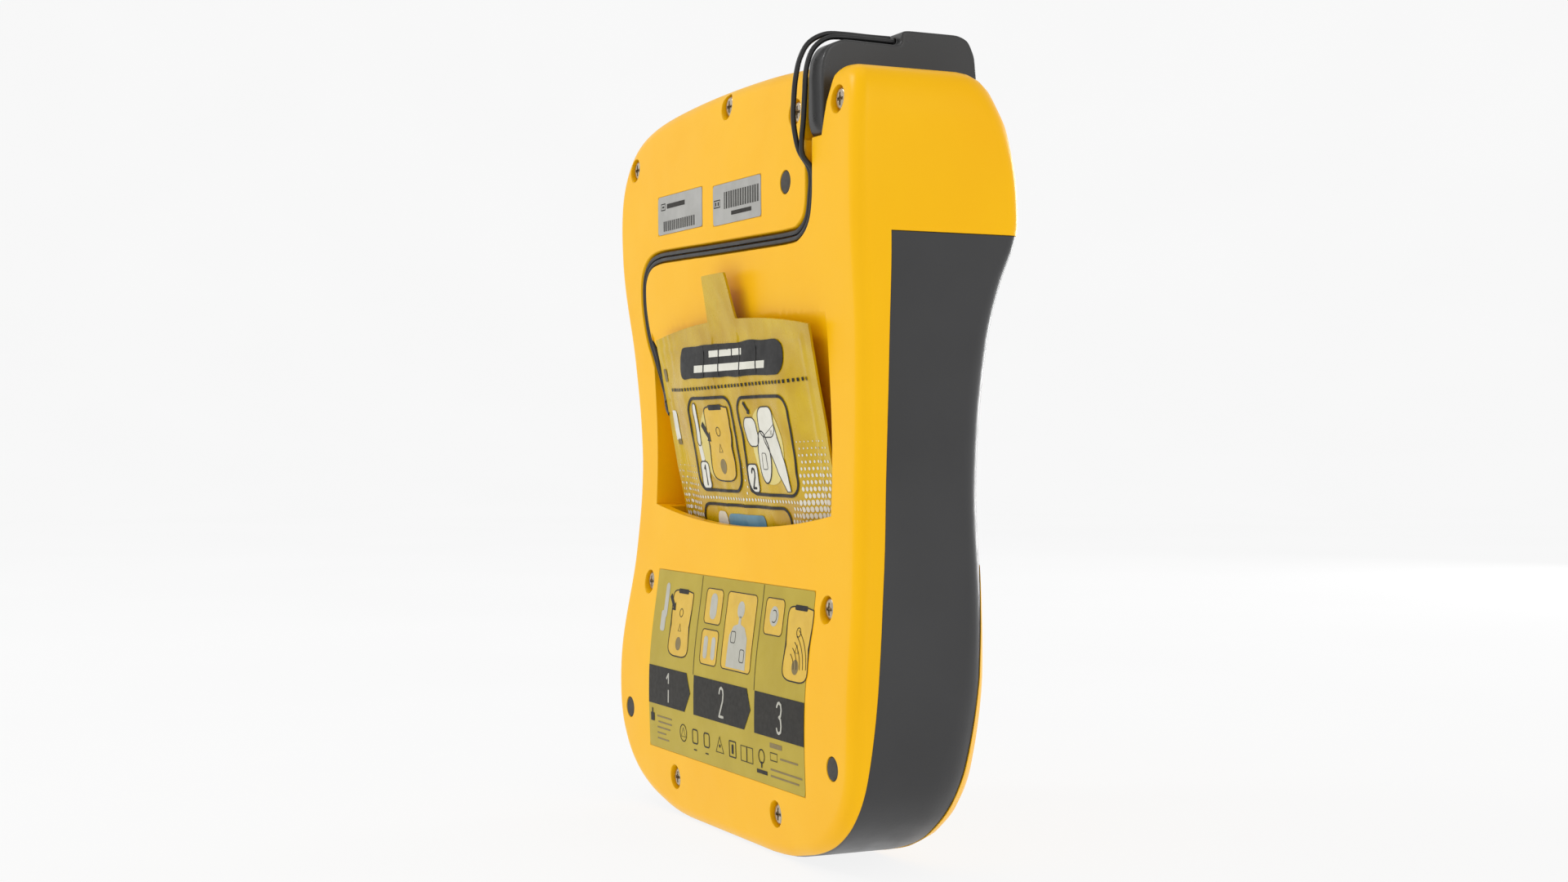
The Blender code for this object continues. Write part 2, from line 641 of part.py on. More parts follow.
def build_controls(green, orange, dark, lens):
    face = float(front_face(0, ON_OFF_HEIGHT))
    on_off = button("on_off_button", circle(0, ON_OFF_HEIGHT, ON_OFF_RADIUS),
                    circle(0, ON_OFF_HEIGHT, ON_OFF_RADIUS + FLANGE_LIP), green, face)
    bevel(on_off, 0.5)
    face = float(front_face(0, SHOCK_HEIGHT))
    shock = button("shock_button", rounded_triangle(SHOCK_HEIGHT, SHOCK_RADIUS, 4),
                   rounded_triangle(SHOCK_HEIGHT, SHOCK_RADIUS + 2 * FLANGE_LIP, 4 + FLANGE_LIP / 2),
                   orange, face)
    bevel(shock, 0.5)
    for name, height in SOFTKEYS.items():
        face = float(front_face(SOFTKEY_ACROSS, height))
        button(name, circle(SOFTKEY_ACROSS, height, SOFTKEY_RADIUS, 16),
               circle(SOFTKEY_ACROSS, height, SOFTKEY_RADIUS + 1, 16), dark, face)
    for name, place, finish in (("status_light", STATUS_LIGHT, lens), ("microphone", MICROPHONE, dark)):
        face = float(front_face(*place))
        stepped_round(name, place, [(face - 0.2, LENS_RADIUS - 0.4), (face + 0.2, LENS_RADIUS),
                                    (face + 6, LENS_RADIUS)], sides=12, finish=finish)


def build_speaker(dark, metal):
    face = float(front_face(0, SPEAKER_HEIGHT))
    grille = stepped_round("speaker_grille", (0, SPEAKER_HEIGHT), [
        (face - 0.4, SPEAKER_RADIUS - 0.5), (face, SPEAKER_RADIUS), (face + 1.1, SPEAKER_RADIUS)],
        finish=dark)
    slots = []
    for ring, count in ((0, 1), (6, 6), (11, 8)):
        for k in range(count):
            turn = 2 * math.pi * k / count
            place = (ring * math.cos(turn), SPEAKER_HEIGHT + ring * math.sin(turn))
            slots.append(prism("grille_slot", circle(*place, 1.3, 6), -40, 0, "Y"))
    cut(grille, joined("grille_slots", slots))
    stepped_round("speaker", (0, SPEAKER_HEIGHT), [
        (face + 4.3, 15.5), (face + 6.5, 15.5), (face + 9, 10), (face + 13, 9)], sides=20, finish=metal)


def build_battery(dark, black, red, metal):
    """Cap and pack, the latch in the cap, and the bay that they slide into."""
    wide, front, rear = BATTERY_HALF_WIDTH, BATTERY_FRONT, BATTERY_REAR
    middle = (0, (front + rear) / 2)
    cap = box("battery_cap", (-wide, front, CAP_FOOT), (wide, rear, 260), dark, (*middle, CAP_FOOT))
    boolean(cap, case_body("cap_outside", 0), "INTERSECT")
    cut(cap, box("latch_hole", (-LATCH_HALF_WIDTH - GAP, LATCH_FRONT - GAP, 220),
                 (LATCH_HALF_WIDTH + GAP, LATCH_REAR + GAP, 260)))
    pack = box("battery_pack", (-wide, front, BATTERY_FOOT), (wide, rear, CAP_FOOT - GAP), black,
               (*middle, BATTERY_FOOT))
    bevel(pack, 2)
    latch = box("battery_latch", (-LATCH_HALF_WIDTH, LATCH_FRONT, LATCH_FOOT),
                (LATCH_HALF_WIDTH, LATCH_REAR, LATCH_TOP), red,
                (0, (LATCH_FRONT + LATCH_REAR) / 2, LATCH_FOOT))
    bevel(latch, 0.8)
    inner = (-wide - 0.6, front - 0.6, BATTERY_FOOT - 3), (wide + 0.6, rear + 0.6, 260)
    bay = box("battery_bay", tuple(v - BAY_WALL for v in inner[0]),
              (inner[1][0] + BAY_WALL, inner[1][1] + BAY_WALL, BAY_TOP), dark)
    boolean(bay, box("screw_lug", (-5, rear + 0.9, 226), (5, 22.6, 236.4)), "UNION")
    cut(bay, box("bay_inside", *inner))
    across, height = SCREWS["screw_top_middle"]
    cut(bay, prism("lug_bore", circle(across, height, SCREW_SHANK_RADIUS + GAP, 12), rear + 0.7, 40, "Y"))
    box("battery_connector", (-12, -2, BATTERY_FOOT - 2.7), (12, 8, BATTERY_FOOT - GAP), metal)


def build_plug(dark, metal):
    """The pads plug with its two pins, and the socket below the notch."""
    origin = (PIN_ACROSS, 0, PLUG_OUTLINE[0][1])
    plug = prism("pads_plug", PLUG_OUTLINE, PLUG_NEAR, PLUG_FAR, "X", dark, origin)
    bevel(plug, 1.6, 2, 50)
    socket = box("pads_socket", (PIN_ACROSS - 4.5, SOCKET_FRONT, 212),
                 (PIN_ACROSS + 4.5, SOCKET_REAR, NOTCH_FLOOR - GAP), dark)
    bores = []
    for side, depth in zip(("front", "rear"), PIN_DEPTHS):
        steps = [(PIN_TIP, 0.6), (PIN_TIP + 0.6, PIN_RADIUS), (PIN_TOP, PIN_RADIUS)]
        stepped_round(f"plug_pin_{side}", (PIN_ACROSS, depth), steps, axis="Z", sides=12, finish=metal,
                      origin=(PIN_ACROSS, depth, PIN_TOP))
        steps = [(PIN_TIP - 1.2, PIN_RADIUS + GAP), (PIN_TOP + 3, PIN_RADIUS + GAP)]
        bores.append(stepped_round("pin_bore", (PIN_ACROSS, depth), steps, axis="Z", sides=12))
    cut(socket, joined("pin_bores", bores))


def build_lead(black):
    """Both strands, each in two stretches: the loop that moves with the plug, and the run in the groove."""
    route = np.array(GROOVE_ROUTE[1:-1], float)
    ahead = np.gradient(route, axis=0)
    sideways = np.column_stack([-ahead[:, 1], ahead[:, 0]]) / np.linalg.norm(ahead, axis=1)[:, None]
    strands = (("outer", OUTER_LOOP + OUTER_ENTRY, LEAD_PAIR, LOWER_TAIL),
               ("inner", INNER_LOOP + INNER_ENTRY, -LEAD_PAIR, UPPER_TAIL))
    for name, loop, shift, tail in strands:
        laid = [(x, float(rear_depth(z)) - LEAD_SINK, z) for x, z in route + sideways * shift]
        points = even_route(loop + laid + tail, LEAD_STEP)
        split = int(np.argmax(points[:, 2] < LEAD_SPLIT))
        start = points[split] + 0.15 * (points[split + 1] - points[split])
        tube(f"lead_{name}_loop", points[:split + 1], LEAD_RADIUS, black)
        tube(f"lead_{name}_run", np.vstack([start, points[split + 1:]]), LEAD_RADIUS, black)


def build_pouch(foil):
    """The pads pouch: a bag with flat seams, fuller in the middle, and its pull tab."""
    foot, top = np.array(POUCH_FOOT), np.array(POUCH_TOP)
    height = np.linalg.norm(top - foot)
    along = (top - foot) / height
    outward = np.array([along[1], -along[0]])
    rows = np.linspace(0, 1, 9)
    columns = np.linspace(-1, 1, 9)
    sheets = []
    for side in (1, -1):
        for row in rows:
            line = []
            for column in columns:
                full = (1 - abs(column) ** 3) * (1 - abs(2 * row - 1) ** 3)
                half = side * (POUCH_SEAM + (POUCH_THICKNESS - POUCH_SEAM) * full) / 2
                spot = foot + (top - foot) * row + outward * half
                middle = POUCH_ACROSS - POUCH_LEAN * height * row
                line.append((middle + POUCH_HALF_WIDTH * column, *spot))
            sheets.append(line)
    count = len(columns)
    rings = []
    for row in range(len(rows)):
        rings.append(sheets[row] + sheets[row + len(rows)][::-1])
    points = [p for ring in rings for p in ring]
    faces = []
    around = 2 * count
    for row in range(len(rings) - 1):
        for i in range(around):
            j = (i + 1) % around
            above = (row + 1) * around
            faces.append((row * around + i, row * around + j, above + j, above + i))
    for base in (0, (len(rings) - 1) * around):
        for i in range(count - 1):
            faces.append((base + i, base + i + 1, base + around - 2 - i, base + around - 1 - i))
    pouch = make_object("pads_pouch", points, faces, foil, (POUCH_ACROSS, *POUCH_FOOT))
    half = outward * POUCH_SEAM / 2
    tab_foot, tab_top = top - along * 3, top + along * TAB_LENGTH
    outline = [tab_foot - half, tab_foot + half, tab_top + half, tab_top - half]
    middle = POUCH_ACROSS - POUCH_LEAN * height
    tab = prism("pouch_tab", outline, middle - TAB_HALF_WIDTH, middle + TAB_HALF_WIDTH, "X")
    boolean(pouch, tab, "UNION")


def build_back_fittings(steel, rubber, label, grey):
    for name, (across, height) in SCREWS.items():
        length = SHORT_SCREW_LENGTH if name == "screw_top_middle" else SCREW_LENGTH
        screw(name, across, height, length, steel)
    for name, (across, height) in FEET.items():
        face = float(rear_depth(height))
        stepped_round(name, (across, height), [(face - 1.7, FOOT_RADIUS), (face - 0.2, FOOT_RADIUS),
                                               (face + 0.1, FOOT_RADIUS - 0.4)], sides=12, finish=rubber)
    for name, span in LABELS.items():
        film = label if name == "instruction_label" else grey
        patch(name, span, -LABEL_SINK, LABEL_THICKNESS - LABEL_SINK, finish=film)


def seal_band(name, skin, thickness, margin, finish=None):
    """The band that the seal fills: a strip behind the front cover's edge, all the way round."""
    band = prism(name, inset(case_outline(1), SEAL_INSET - margin), -60, COVER_BACK, "Y", finish)
    boolean(band, case_body(name + "_outside", skin - margin), "INTERSECT")
    cut(band, case_body(name + "_inside", skin + thickness + margin),
        prism(name + "_core", inset(case_outline(1), SEAL_INSET + SEAL_WIDTH + margin), -80, 0, "Y"))
    return band


def build_inside(board_green, dark, metal, copper, black):
    """The electronics between the front cover and the pocket."""
    seal_band("case_seal", SEAL_SKIN, SEAL_THICKNESS, 0, black)
    board = box("main_board", (-52, BOARD_FRONT, 74), (52, BOARD_REAR, 156), board_green)
    bevel(board, 0.3, 1)
    parts_foot = BOARD_REAR + GAP
    box("softkey_board", (40, -18.3, 189), (52, -16.9, 219), board_green)
    for name, low, high, finish in (
            ("relay_module", (14, parts_foot, 118), (48, -1, 148), black),
            ("processor_shield", (-48, parts_foot, 112), (-14, -6.5, 150), metal)):
        bevel(box(name, low, high, finish), 1, 1)
    stepped_round("high_voltage_inductor", (36, 95), [(parts_foot, 11), (-3, 11), (-2, 9), (2, 9)],
                  sides=20, finish=copper)
    stepped_round("backup_cell", (-34, 92), [(parts_foot, 10), (-5.9, 10)], sides=20, finish=metal)
    stepped_round("buzzer", (0, 92), [(parts_foot, 6), (-3.7, 6)], sides=16, finish=black)
    stepped_round("energy_capacitor", (8, 38), [(-46, 13), (-45, 14), (19, 14), (20, 13)], axis="X",
                  finish=dark)
    bevel(box("charging_transformer", (27, -4, 27), (53, 18, 49), copper), 1.5, 1)


def main():
    clear_scene()
    yellow = material("yellow_moulding", (0.98, 0.5, 0.02), 0.32)
    dark = material("dark_moulding", (0.045, 0.044, 0.043), 0.45)
    black = material("black_moulding", (0.02, 0.02, 0.02), 0.5)
    rubber = material("rubber", (0.05, 0.05, 0.05), 0.8)
    metal = material("plated_steel", (0.5, 0.45, 0.38), 0.35, 1.0)
    copper = material("copper_winding", (0.6, 0.28, 0.12), 0.4, 1.0)
    green = material("green_key", (0.05, 0.45, 0.12), 0.4)
    orange = material("orange_key", (0.9, 0.2, 0.03), 0.4)
    red = material("red_latch", (0.6, 0.03, 0.02), 0.45)
    lens = material("clear_lens", (0.3, 0.75, 0.35), 0.15)
    glass = material("display_glass", (0.05, 0.06, 0.07), 0.08)
    board = material("circuit_board", (0.02, 0.2, 0.08), 0.5)
    label = material("instruction_film", (0.5, 0.38, 0.03), 0.45)
    grey = material("data_film", (0.42, 0.41, 0.38), 0.45)
    foil = material("pouch_foil", (0.6, 0.42, 0.02), 0.35)
    build_back_shell(yellow)
    build_side_grip(dark)
    build_front_cover(yellow)
    build_display(black, glass, metal)
    build_controls(green, orange, dark, lens)
    build_speaker(dark, metal)
    build_battery(dark, black, red, metal)
    build_plug(dark, metal)
    build_lead(black)
    build_pouch(foil)
    build_back_fittings(metal, rubber, label, grey)
    build_inside(board, dark, metal, copper, black)


main()
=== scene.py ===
"""Looks of a hand-held automated external defibrillator, standing upright and seen from behind.

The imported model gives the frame. The case, grip, plug, pouch, leads, labels and screws are built here
again, from the same sizes with a finer surface. Sizes are in millimetres unless a comment says otherwise.
"""

import math

import bmesh
import bpy
import numpy as np
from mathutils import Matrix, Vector, noise


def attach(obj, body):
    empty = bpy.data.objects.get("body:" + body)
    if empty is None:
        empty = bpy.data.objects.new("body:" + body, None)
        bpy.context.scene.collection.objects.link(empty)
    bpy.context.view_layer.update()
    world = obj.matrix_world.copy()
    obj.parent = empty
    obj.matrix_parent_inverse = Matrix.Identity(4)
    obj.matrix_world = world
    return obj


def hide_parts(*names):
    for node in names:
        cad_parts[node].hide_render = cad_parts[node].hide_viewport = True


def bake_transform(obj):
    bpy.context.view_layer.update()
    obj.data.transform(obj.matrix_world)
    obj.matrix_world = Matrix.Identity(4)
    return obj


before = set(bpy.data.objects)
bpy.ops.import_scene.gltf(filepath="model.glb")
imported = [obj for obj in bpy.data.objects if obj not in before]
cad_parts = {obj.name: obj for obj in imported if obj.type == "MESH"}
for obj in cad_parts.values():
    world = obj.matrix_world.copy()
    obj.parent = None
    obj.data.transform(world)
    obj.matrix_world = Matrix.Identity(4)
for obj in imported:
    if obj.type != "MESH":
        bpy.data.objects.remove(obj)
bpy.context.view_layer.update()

MM = 0.001
GAP = 0.3

# Case: overall half sizes, the outline seen from the back, and the depth at each height.
HALF_WIDTH = 92.5
MID_HEIGHT = 120.4
CASE_SIDE = [(33, 0), (57, 3), (72, 7.6), (81.5, 13.6), (87.4, 20.4), (90.8, 28), (92, 38), (91.6, 52),
             (90, 67), (87.2, 88), (85.4, 112), (86.4, 134), (89, 158), (91.6, 180), (92.5, 198)]
SOFT_SHOULDER = [(92.2, 210), (90, 219.6), (84.4, 228.2), (75.6, 234), (59.5, 237.8), (32, 240), (0, 240.8)]
PLUG_SHOULDER = [(92.4, 212), (92, 224), (90, 231.8), (86, 235.2), (79, 236.2), (69, 237), (56, 238.8),
                 (32, 240.4)]
REAR_PROFILE = [(0, 28.3), (21, 29.5), (51, 29.8), (86, 25.8), (121, 24.1), (156, 25.6), (191, 29),
                (221, 29), (243, 26.9)]
FRONT_PROFILE = [(0, -23), (21, -20.6), (46, -19.2), (77, -18.4), (115, -17.8), (144, -18.8), (163, -20.4),
                 (175, -22.6), (187, -26), (200, -26), (241, -26)]
FRONT_RADIUS = [(0, 20), (25, 18), (50, 14), (77, 9), (115, 8), (150, 8), (175, 6), (190, 4), (205, 5),
                (221, 11), (234, 18), (241, 18)]
CORNER_RADIUS = 4
FRONT_CROWN = 2.0
REAR_FILLET = 4.4
WALL = 3.0
REAR_WALL = 4.6
COVER_INSET = 9.4
COVER_BACK = -12.3

# Side grip: its band seen from the side, as (depth, height), and how far it wraps onto the front.
GRIP_REAR = [(17.2, 187.5), (16.2, 160), (15.4, 137), (15.4, 113), (16.8, 90), (21.1, 55), (25, 25),
             (26.5, -6)]
GRIP_FRONT = [(-2.5, -6), (-4, 12), (-9, 30), (-14, 58), (-17, 90), (-40, 104), (-40, 187.5)]
GRIP_WRAP = 7
GRIP_THICKNESS = 1.5
GRIP_SINK = 0.25

# Pads pocket: floor seen from the side, as (depth, height), and its lip.
POCKET_HALF_WIDTH = 68
POCKET_LOWER_HALF_WIDTH = 63
POCKET_FLOOR = [(27.4, 168.5), (24.2, 158), (10.6, 106), (4.6, 65.5)]
POCKET_LIP = 99.8
POCKET_LIP_RISE = 5.4
POCKET_WALL = 2.0
NOTCH_WALL = 1.4
LIP_WALL = 3.2

# Notch for the pads plug, seen from the back, as (across, height), and the plug seen from the side.
NOTCH = [(-59, 250), (-59, 216.6), (-71.2, 216.6), (-73.4, 226), (-77, 233.4), (-81.4, 237.4), (-81.4, 250)]
NOTCH_FLOOR = 226.6
NOTCH_STEP = 23.8
PLUG_FAR = -61.4
PLUG_NEAR = -70.6
PLUG_OUTLINE = [(-24.6, 227.2), (-23, 243.5), (-20.8, 248.2), (-17.2, 249.6), (0, 249.6), (1.8, 249.2),
                (2.2, 248), (2.3, 245), (21.8, 245.4), (26, 243.6), (28.2, 240), (28.8, 235.5),
                (28.8, 221.5), (28, 218.2), (26.6, 217), (25.2, 218), (24.2, 221.4), (24.2, 227.2)]
PLUG_EDGE = 1.7
THUMB_GROOVES = (-20.4, -17.6, -14.8)
THUMB_GROOVE_FLOOR = 249.1
PIN_ACROSS = -65.1
SOCKET_FRONT = -10.5
SOCKET_REAR = 1.5

# Lead: two strands from the plug, in loops, then side by side in the groove to the pouch.
LEAD_RADIUS = 0.8
LEAD_PAIR = 0.86
LEAD_SINK = 1.0
GROOVE_HALF_WIDTH = 2.1
GROOVE_DEPTH = 2.5
GROOVE_ROUTE = [(-62.5, 219), (-62.9, 207), (-62.5, 199), (-60.4, 193.4), (-55.4, 190), (-48, 189),
                (-20, 189.3), (10, 189.8), (40, 190.4), (56, 190.4), (64.4, 188.6), (69.8, 184),
                (72, 177), (72.2, 170), (70.8, 163), (67, 156), (64.4, 150)]
OUTER_LOOP = [(-63.9, 2.8, 248), (-63.8, 10, 248), (-63.4, 18, 248.2), (-62.6, 23.8, 247.9),
              (-61.6, 28.6, 245.2), (-60.9, 31.2, 240.4), (-60.4, 32.4, 234.4), (-60.2, 32.9, 228),
              (-60.2, 33, 222.2), (-60.3, 32.4, 217.6), (-60.2, 31, 213)]
INNER_LOOP = [(-66.3, 2.8, 246.6), (-66, 10, 246.8), (-65.5, 18, 246.9), (-64.6, 23.8, 246.5),
              (-63.5, 28, 243.2), (-62.9, 30, 237.4), (-62.6, 30.5, 229), (-62.4, 30.8, 222),
              (-62.4, 31.3, 216.6), (-62.4, 31, 211.6)]
LOWER_TAIL = [(66, 23.8, 150.6), (63.2, 23.1, 144), (59.2, 24, 138.8), (55.4, 24.6, 136.6)]
UPPER_TAIL = [(64.8, 24.5, 152.8), (61.4, 24, 147.4), (58.2, 24.8, 143), (55.4, 25.6, 141)]
LEAD_STEP = 1.2
LEAD_SIDES = 14
LEAD_SPLIT_ACROSS = 0.0

# Pads pouch: a foil bag that leans out of the pocket, and a little to the left.
POUCH_ACROSS = 0.4
POUCH_LEAN = 0.058
POUCH_HALF_WIDTH = 59.3
POUCH_FOOT = (10.4, 70.5)
POUCH_TOP = (31, 166)
POUCH_THICKNESS = 4.8
POUCH_SEAM = 0.8
POUCH_FLANGE = 5.5
TAB_HALF_WIDTH = 9.4
TAB_LENGTH = 15
TAB_SHIFT = 2.6
POUCH_DIP = 4.2
POUCH_COLUMNS = 131
POUCH_ROWS = 118

# Battery mouth, fasteners, feet and labels on the back, as (across, height).
BATTERY_HALF_WIDTH = 38
BATTERY_FRONT = -11.5
BATTERY_REAR = 19
SCREWS = {
    "screw_top_right": (77.4, 223.2), "screw_top_middle": (0, 235), "screw_beside_plug": (-52.1, 226),
    "screw_top_left": (-80.3, 226), "screw_waist_right": (69.4, 78), "screw_waist_left": (-69.4, 78),
    "screw_foot_right": (39.7, 13.4), "screw_foot_left": (-39.7, 13.4),
}
SCREW_HEAD_RADIUS = 3.3
SCREW_SHANK_RADIUS = 1.5
SCREW_SINK = 0.9
SCREW_HEAD = 1.4
COUNTERBORE_RADIUS = 4.0
FEET = {"foot_upper": (-47, 205.5), "foot_lower_right": (79.5, 32.8), "foot_lower_left": (-79.5, 32.8)}
FOOT_RADIUS = 3.5
LABELS = {
    "instruction_label": (-61.3, 61.3, 21.8, 82.7), "data_label_right": (16.4, 54.6, 198, 211),
    "data_label_left": (-29.5, 7.4, 197, 210),
}
LABEL_LIFT = 0.05
PRINT_LIFT = 0.04
PRINT_GRID = 3


def smooth_value(table, height):
    """A smooth curve through (height, value) pairs, level beyond its ends."""
    heights, values = np.array(table, float).T
    slopes = np.gradient(values, heights)
    place = np.clip(np.asarray(height, float), heights[0], heights[-1])
    i = np.clip(np.searchsorted(heights, place) - 1, 0, len(heights) - 2)
    span = heights[i + 1] - heights[i]
    t = (place - heights[i]) / span
    start = (1 + 2 * t) * (1 - t) ** 2 * values[i] + t * (1 - t) ** 2 * span * slopes[i]
    end = t * t * (3 - 2 * t) * values[i + 1] + t * t * (t - 1) * span * slopes[i + 1]
    return start + end


def smooth_route(points, steps, closed=False):
    """Points on a Catmull-Rom curve through the given ones, with that many steps in each stretch."""
    given = np.array(points, float)
    if closed:
        padded = np.vstack([given[-1:], given, given[:2]])
    else:
        padded = np.vstack([2 * given[0] - given[1], given, 2 * given[-1] - given[-2]])
    found = []
    for a, b, c, d in zip(padded, padded[1:], padded[2:], padded[3:]):
        for t in np.arange(steps) / steps:
            found.append(0.5 * (2 * b + (c - a) * t + (2 * a - 5 * b + 4 * c - d) * t**2
                                + (3 * b - a - 3 * c + d) * t**3))
    if not closed:
        found.append(given[-1])
    return np.array(found)


def even_route(points, spacing):
    """The same curve with its points the given distance apart."""
    fine = smooth_route(points, 16)
    along = np.concatenate([[0], np.cumsum(np.linalg.norm(np.diff(fine, axis=0), axis=1))])
    places = np.linspace(0, along[-1], max(2, round(along[-1] / spacing) + 1))
    return np.column_stack([np.interp(places, along, fine[:, axis]) for axis in range(3)])


def rear_depth(height):
    return smooth_value(REAR_PROFILE, height)


def front_face(across, height):
    """Depth of the crowned front face."""
    reach = np.hypot(np.asarray(across) / HALF_WIDTH, (np.asarray(height) - MID_HEIGHT) / MID_HEIGHT)
    return smooth_value(FRONT_PROFILE, height) - FRONT_CROWN * np.clip(1 - reach**2, 0, 1)


def front_rounding(across, height):
    """Radius of the front edge: larger round the two lower corners than along the sides and the foot."""
    beyond = np.clip((np.abs(across) - 40) / 30, 0, 1)
    below = np.clip((58 - height) / 34, 0, 1)
    corner = beyond**2 * (3 - 2 * beyond) * below**2 * (3 - 2 * below)
    return smooth_value(FRONT_RADIUS, height) + CORNER_RADIUS * corner


def case_outline(steps):
    """The case's outline as (across, height), up the right-hand side and down the left."""
    left = CASE_SIDE + PLUG_SHOULDER
    route = CASE_SIDE + SOFT_SHOULDER + [(-x, z) for x, z in reversed(left)]
    points = smooth_route(route, steps, closed=True)
    points[:, 1] = np.maximum(points[:, 1], 0)
    return points


def inset(points, distance):
    """The outline drawn in by that distance on all sides."""
    middle = np.array([0, MID_HEIGHT])
    return middle + (points - middle) * (1 - distance / np.array([HALF_WIDTH, MID_HEIGHT]))


def case_rings(steps, skin, rear_skin, fine):
    """Closed rings of (across, depth, height), from the middle of the back to the middle of the front."""
    outline = case_outline(steps)
    rear_radius = max(REAR_FILLET - rear_skin, 1.2)
    front_radius = np.maximum(front_rounding(*outline.T) - skin, 1.5)
    base = inset(outline, skin)
    inner = np.linspace(0.04, 0.96, 22) if fine else (0.2, 0.65)
    turns = np.linspace(0, 90, 9 if fine else 4)
    rings = []

    def add(points, depth):
        rings.append(np.column_stack([points[:, 0], depth, points[:, 1]]))

    rear_edge = inset(base, rear_radius)
    for scale in inner:
        points = rear_edge * scale + np.array([0, MID_HEIGHT]) * (1 - scale)
        add(points, rear_depth(points[:, 1]) - rear_skin)
    for turn in np.radians(turns):
        points = inset(base, rear_radius * (1 - math.sin(turn)))
        add(points, rear_depth(points[:, 1]) - rear_skin - rear_radius * (1 - math.cos(turn)))
    rear_start = rings[-1][:, 1]
    front_start = front_face(*base.T) + skin + front_radius
    for part in np.linspace(0, 1, 9)[1:-1] if fine else (0.5,):
        add(base, rear_start * (1 - part) + front_start * part)
    for turn in np.radians(turns[::-1]):
        distance = (front_radius * (1 - math.sin(turn)))[:, None]
        points = inset(base, distance)
        add(points, front_face(*points.T) + skin + front_radius * (1 - math.cos(turn)))
    front_edge = points
    for scale in reversed(inner):
        points = front_edge * scale + np.array([0, MID_HEIGHT]) * (1 - scale)
        add(points, front_face(*points.T) + skin)
    return rings


def make_object(name, points, faces, finish=None):
    """A mesh object from points in millimetres, with a material where one is given."""
    mesh = bpy.data.meshes.new(name)
    mesh.from_pydata((np.array(points, float) * MM).tolist(), [], faces)
    shape = bmesh.new()
    shape.from_mesh(mesh)
    bmesh.ops.recalc_face_normals(shape, faces=shape.faces)
    shape.to_mesh(mesh)
    shape.free()
    item = bpy.data.objects.new(name, mesh)
    bpy.context.scene.collection.objects.link(item)
    if finish:
        mesh.materials.append(finish)
    return item


def ring_shape(rings, domed=True):
    """Points and faces of a closed shape through rings of equal length, closed at both ends."""
    count = len(rings[0])
    points = [tuple(p) for ring in rings for p in ring]
    faces = []
    for r in range(len(rings) - 1):
        for i in range(count):
            j = (i + 1) % count
            faces.append((r * count + i, r * count + j, (r + 1) * count + j, (r + 1) * count + i))
    first = list(range(count))
    last = [(len(rings) - 1) * count + i for i in range(count)]
    if not domed:
        return points, faces + [first, last]
    for ring in (first, last):
        points.append(tuple(np.mean([points[i] for i in ring], axis=0)))
        faces += [(ring[i], ring[(i + 1) % count], len(points) - 1) for i in range(count)]
    return points, faces


def case_body(name, skin, rear_skin=None, fine=False):
    """The whole case as one solid, drawn in by the skin."""
    rings = case_rings(5 if fine else 2, skin, skin if rear_skin is None else rear_skin, fine)
    return make_object(name, *ring_shape(rings))


def prism(name, outline, low, high, axis):
    """A flat outline drawn out along an axis: the outline holds the other two coordinates in order."""
    flat = np.array(outline, float)
    rings = [np.insert(flat, "XYZ".index(axis), place, axis=1) for place in (low, high)]
    return make_object(name, *ring_shape(rings, domed=False))


def box(name, low, high):
    outline = [(low[0], low[1]), (high[0], low[1]), (high[0], high[1]), (low[0], high[1])]
    return prism(name, outline, low[2], high[2], "Z")


def circle(across, up, radius, sides=48):
    turns = np.arange(sides) * 2 * math.pi / sides
    return np.column_stack([across + radius * np.cos(turns), up + radius * np.sin(turns)])


def turned(name, place, steps, sides=48):
    """A turned shape along Y through the place: steps are (depth, radius)."""
    rings = [np.insert(circle(*place, radius, sides), 1, depth, axis=1) for depth, radius in steps]
    return make_object(name, *ring_shape(rings, domed=False))


def apply_modifiers(item):
    graph = bpy.context.evaluated_depsgraph_get()
    mesh = bpy.data.meshes.new_from_object(item.evaluated_get(graph))
    item.modifiers.clear()
    item.data = mesh


def combine(item, operation, *others):
    """Cuts, joins or intersects the item with each of the others, and removes them."""
    for other in others:
        step = item.modifiers.new("step", "BOOLEAN")
        step.object = other
        step.operation = operation
        step.solver = "MANIFOLD"
        apply_modifiers(item)
        bpy.data.objects.remove(other)


def soften(item, sharp=32):
    """Smooth shading, weighted to the larger faces, between edges sharper than that many degrees."""
    item.data.shade_smooth()
    item.data.set_sharp_from_angle(angle=math.radians(sharp))
    step = item.modifiers.new("weighted", "WEIGHTED_NORMAL")
    step.keep_sharp = True
    apply_modifiers(item)
    return item


def curved_patch(name, span, low, high, margin=0.0):
    """A slab that follows the curved back between two offsets from it."""
    left, right, foot, top = span
    rings = []
    for height in np.linspace(foot - margin, top + margin, 17):
        near, far = rear_depth(height) + low, rear_depth(height) + high
        rings.append([(left - margin, near, height), (right + margin, near, height),
                      (right + margin, far, height), (left - margin, far, height)])
    return make_object(name, *ring_shape(rings, domed=False))


def pocket_mouth(name, half_width, wall, columns):
    """The pocket above its lip, which rises towards both sides."""
    rings = []
    floor = POCKET_FLOOR[:3]
    (foot_depth, foot), (deep_depth, deep) = POCKET_FLOOR[2:]
    for across in np.linspace(-half_width, half_width, columns):
        lip = POCKET_LIP + POCKET_LIP_RISE * (across / half_width) ** 2 - wall
        depth = foot_depth - (foot - lip) * (foot_depth - deep_depth) / (foot - deep)
        side = [(y - wall, z) for y, z in floor] + [(depth - wall, lip), (60, lip), (60, floor[0][1])]
        rings.append([(across, y, z) for y, z in side])
    return make_object(name, *ring_shape(rings, domed=False))


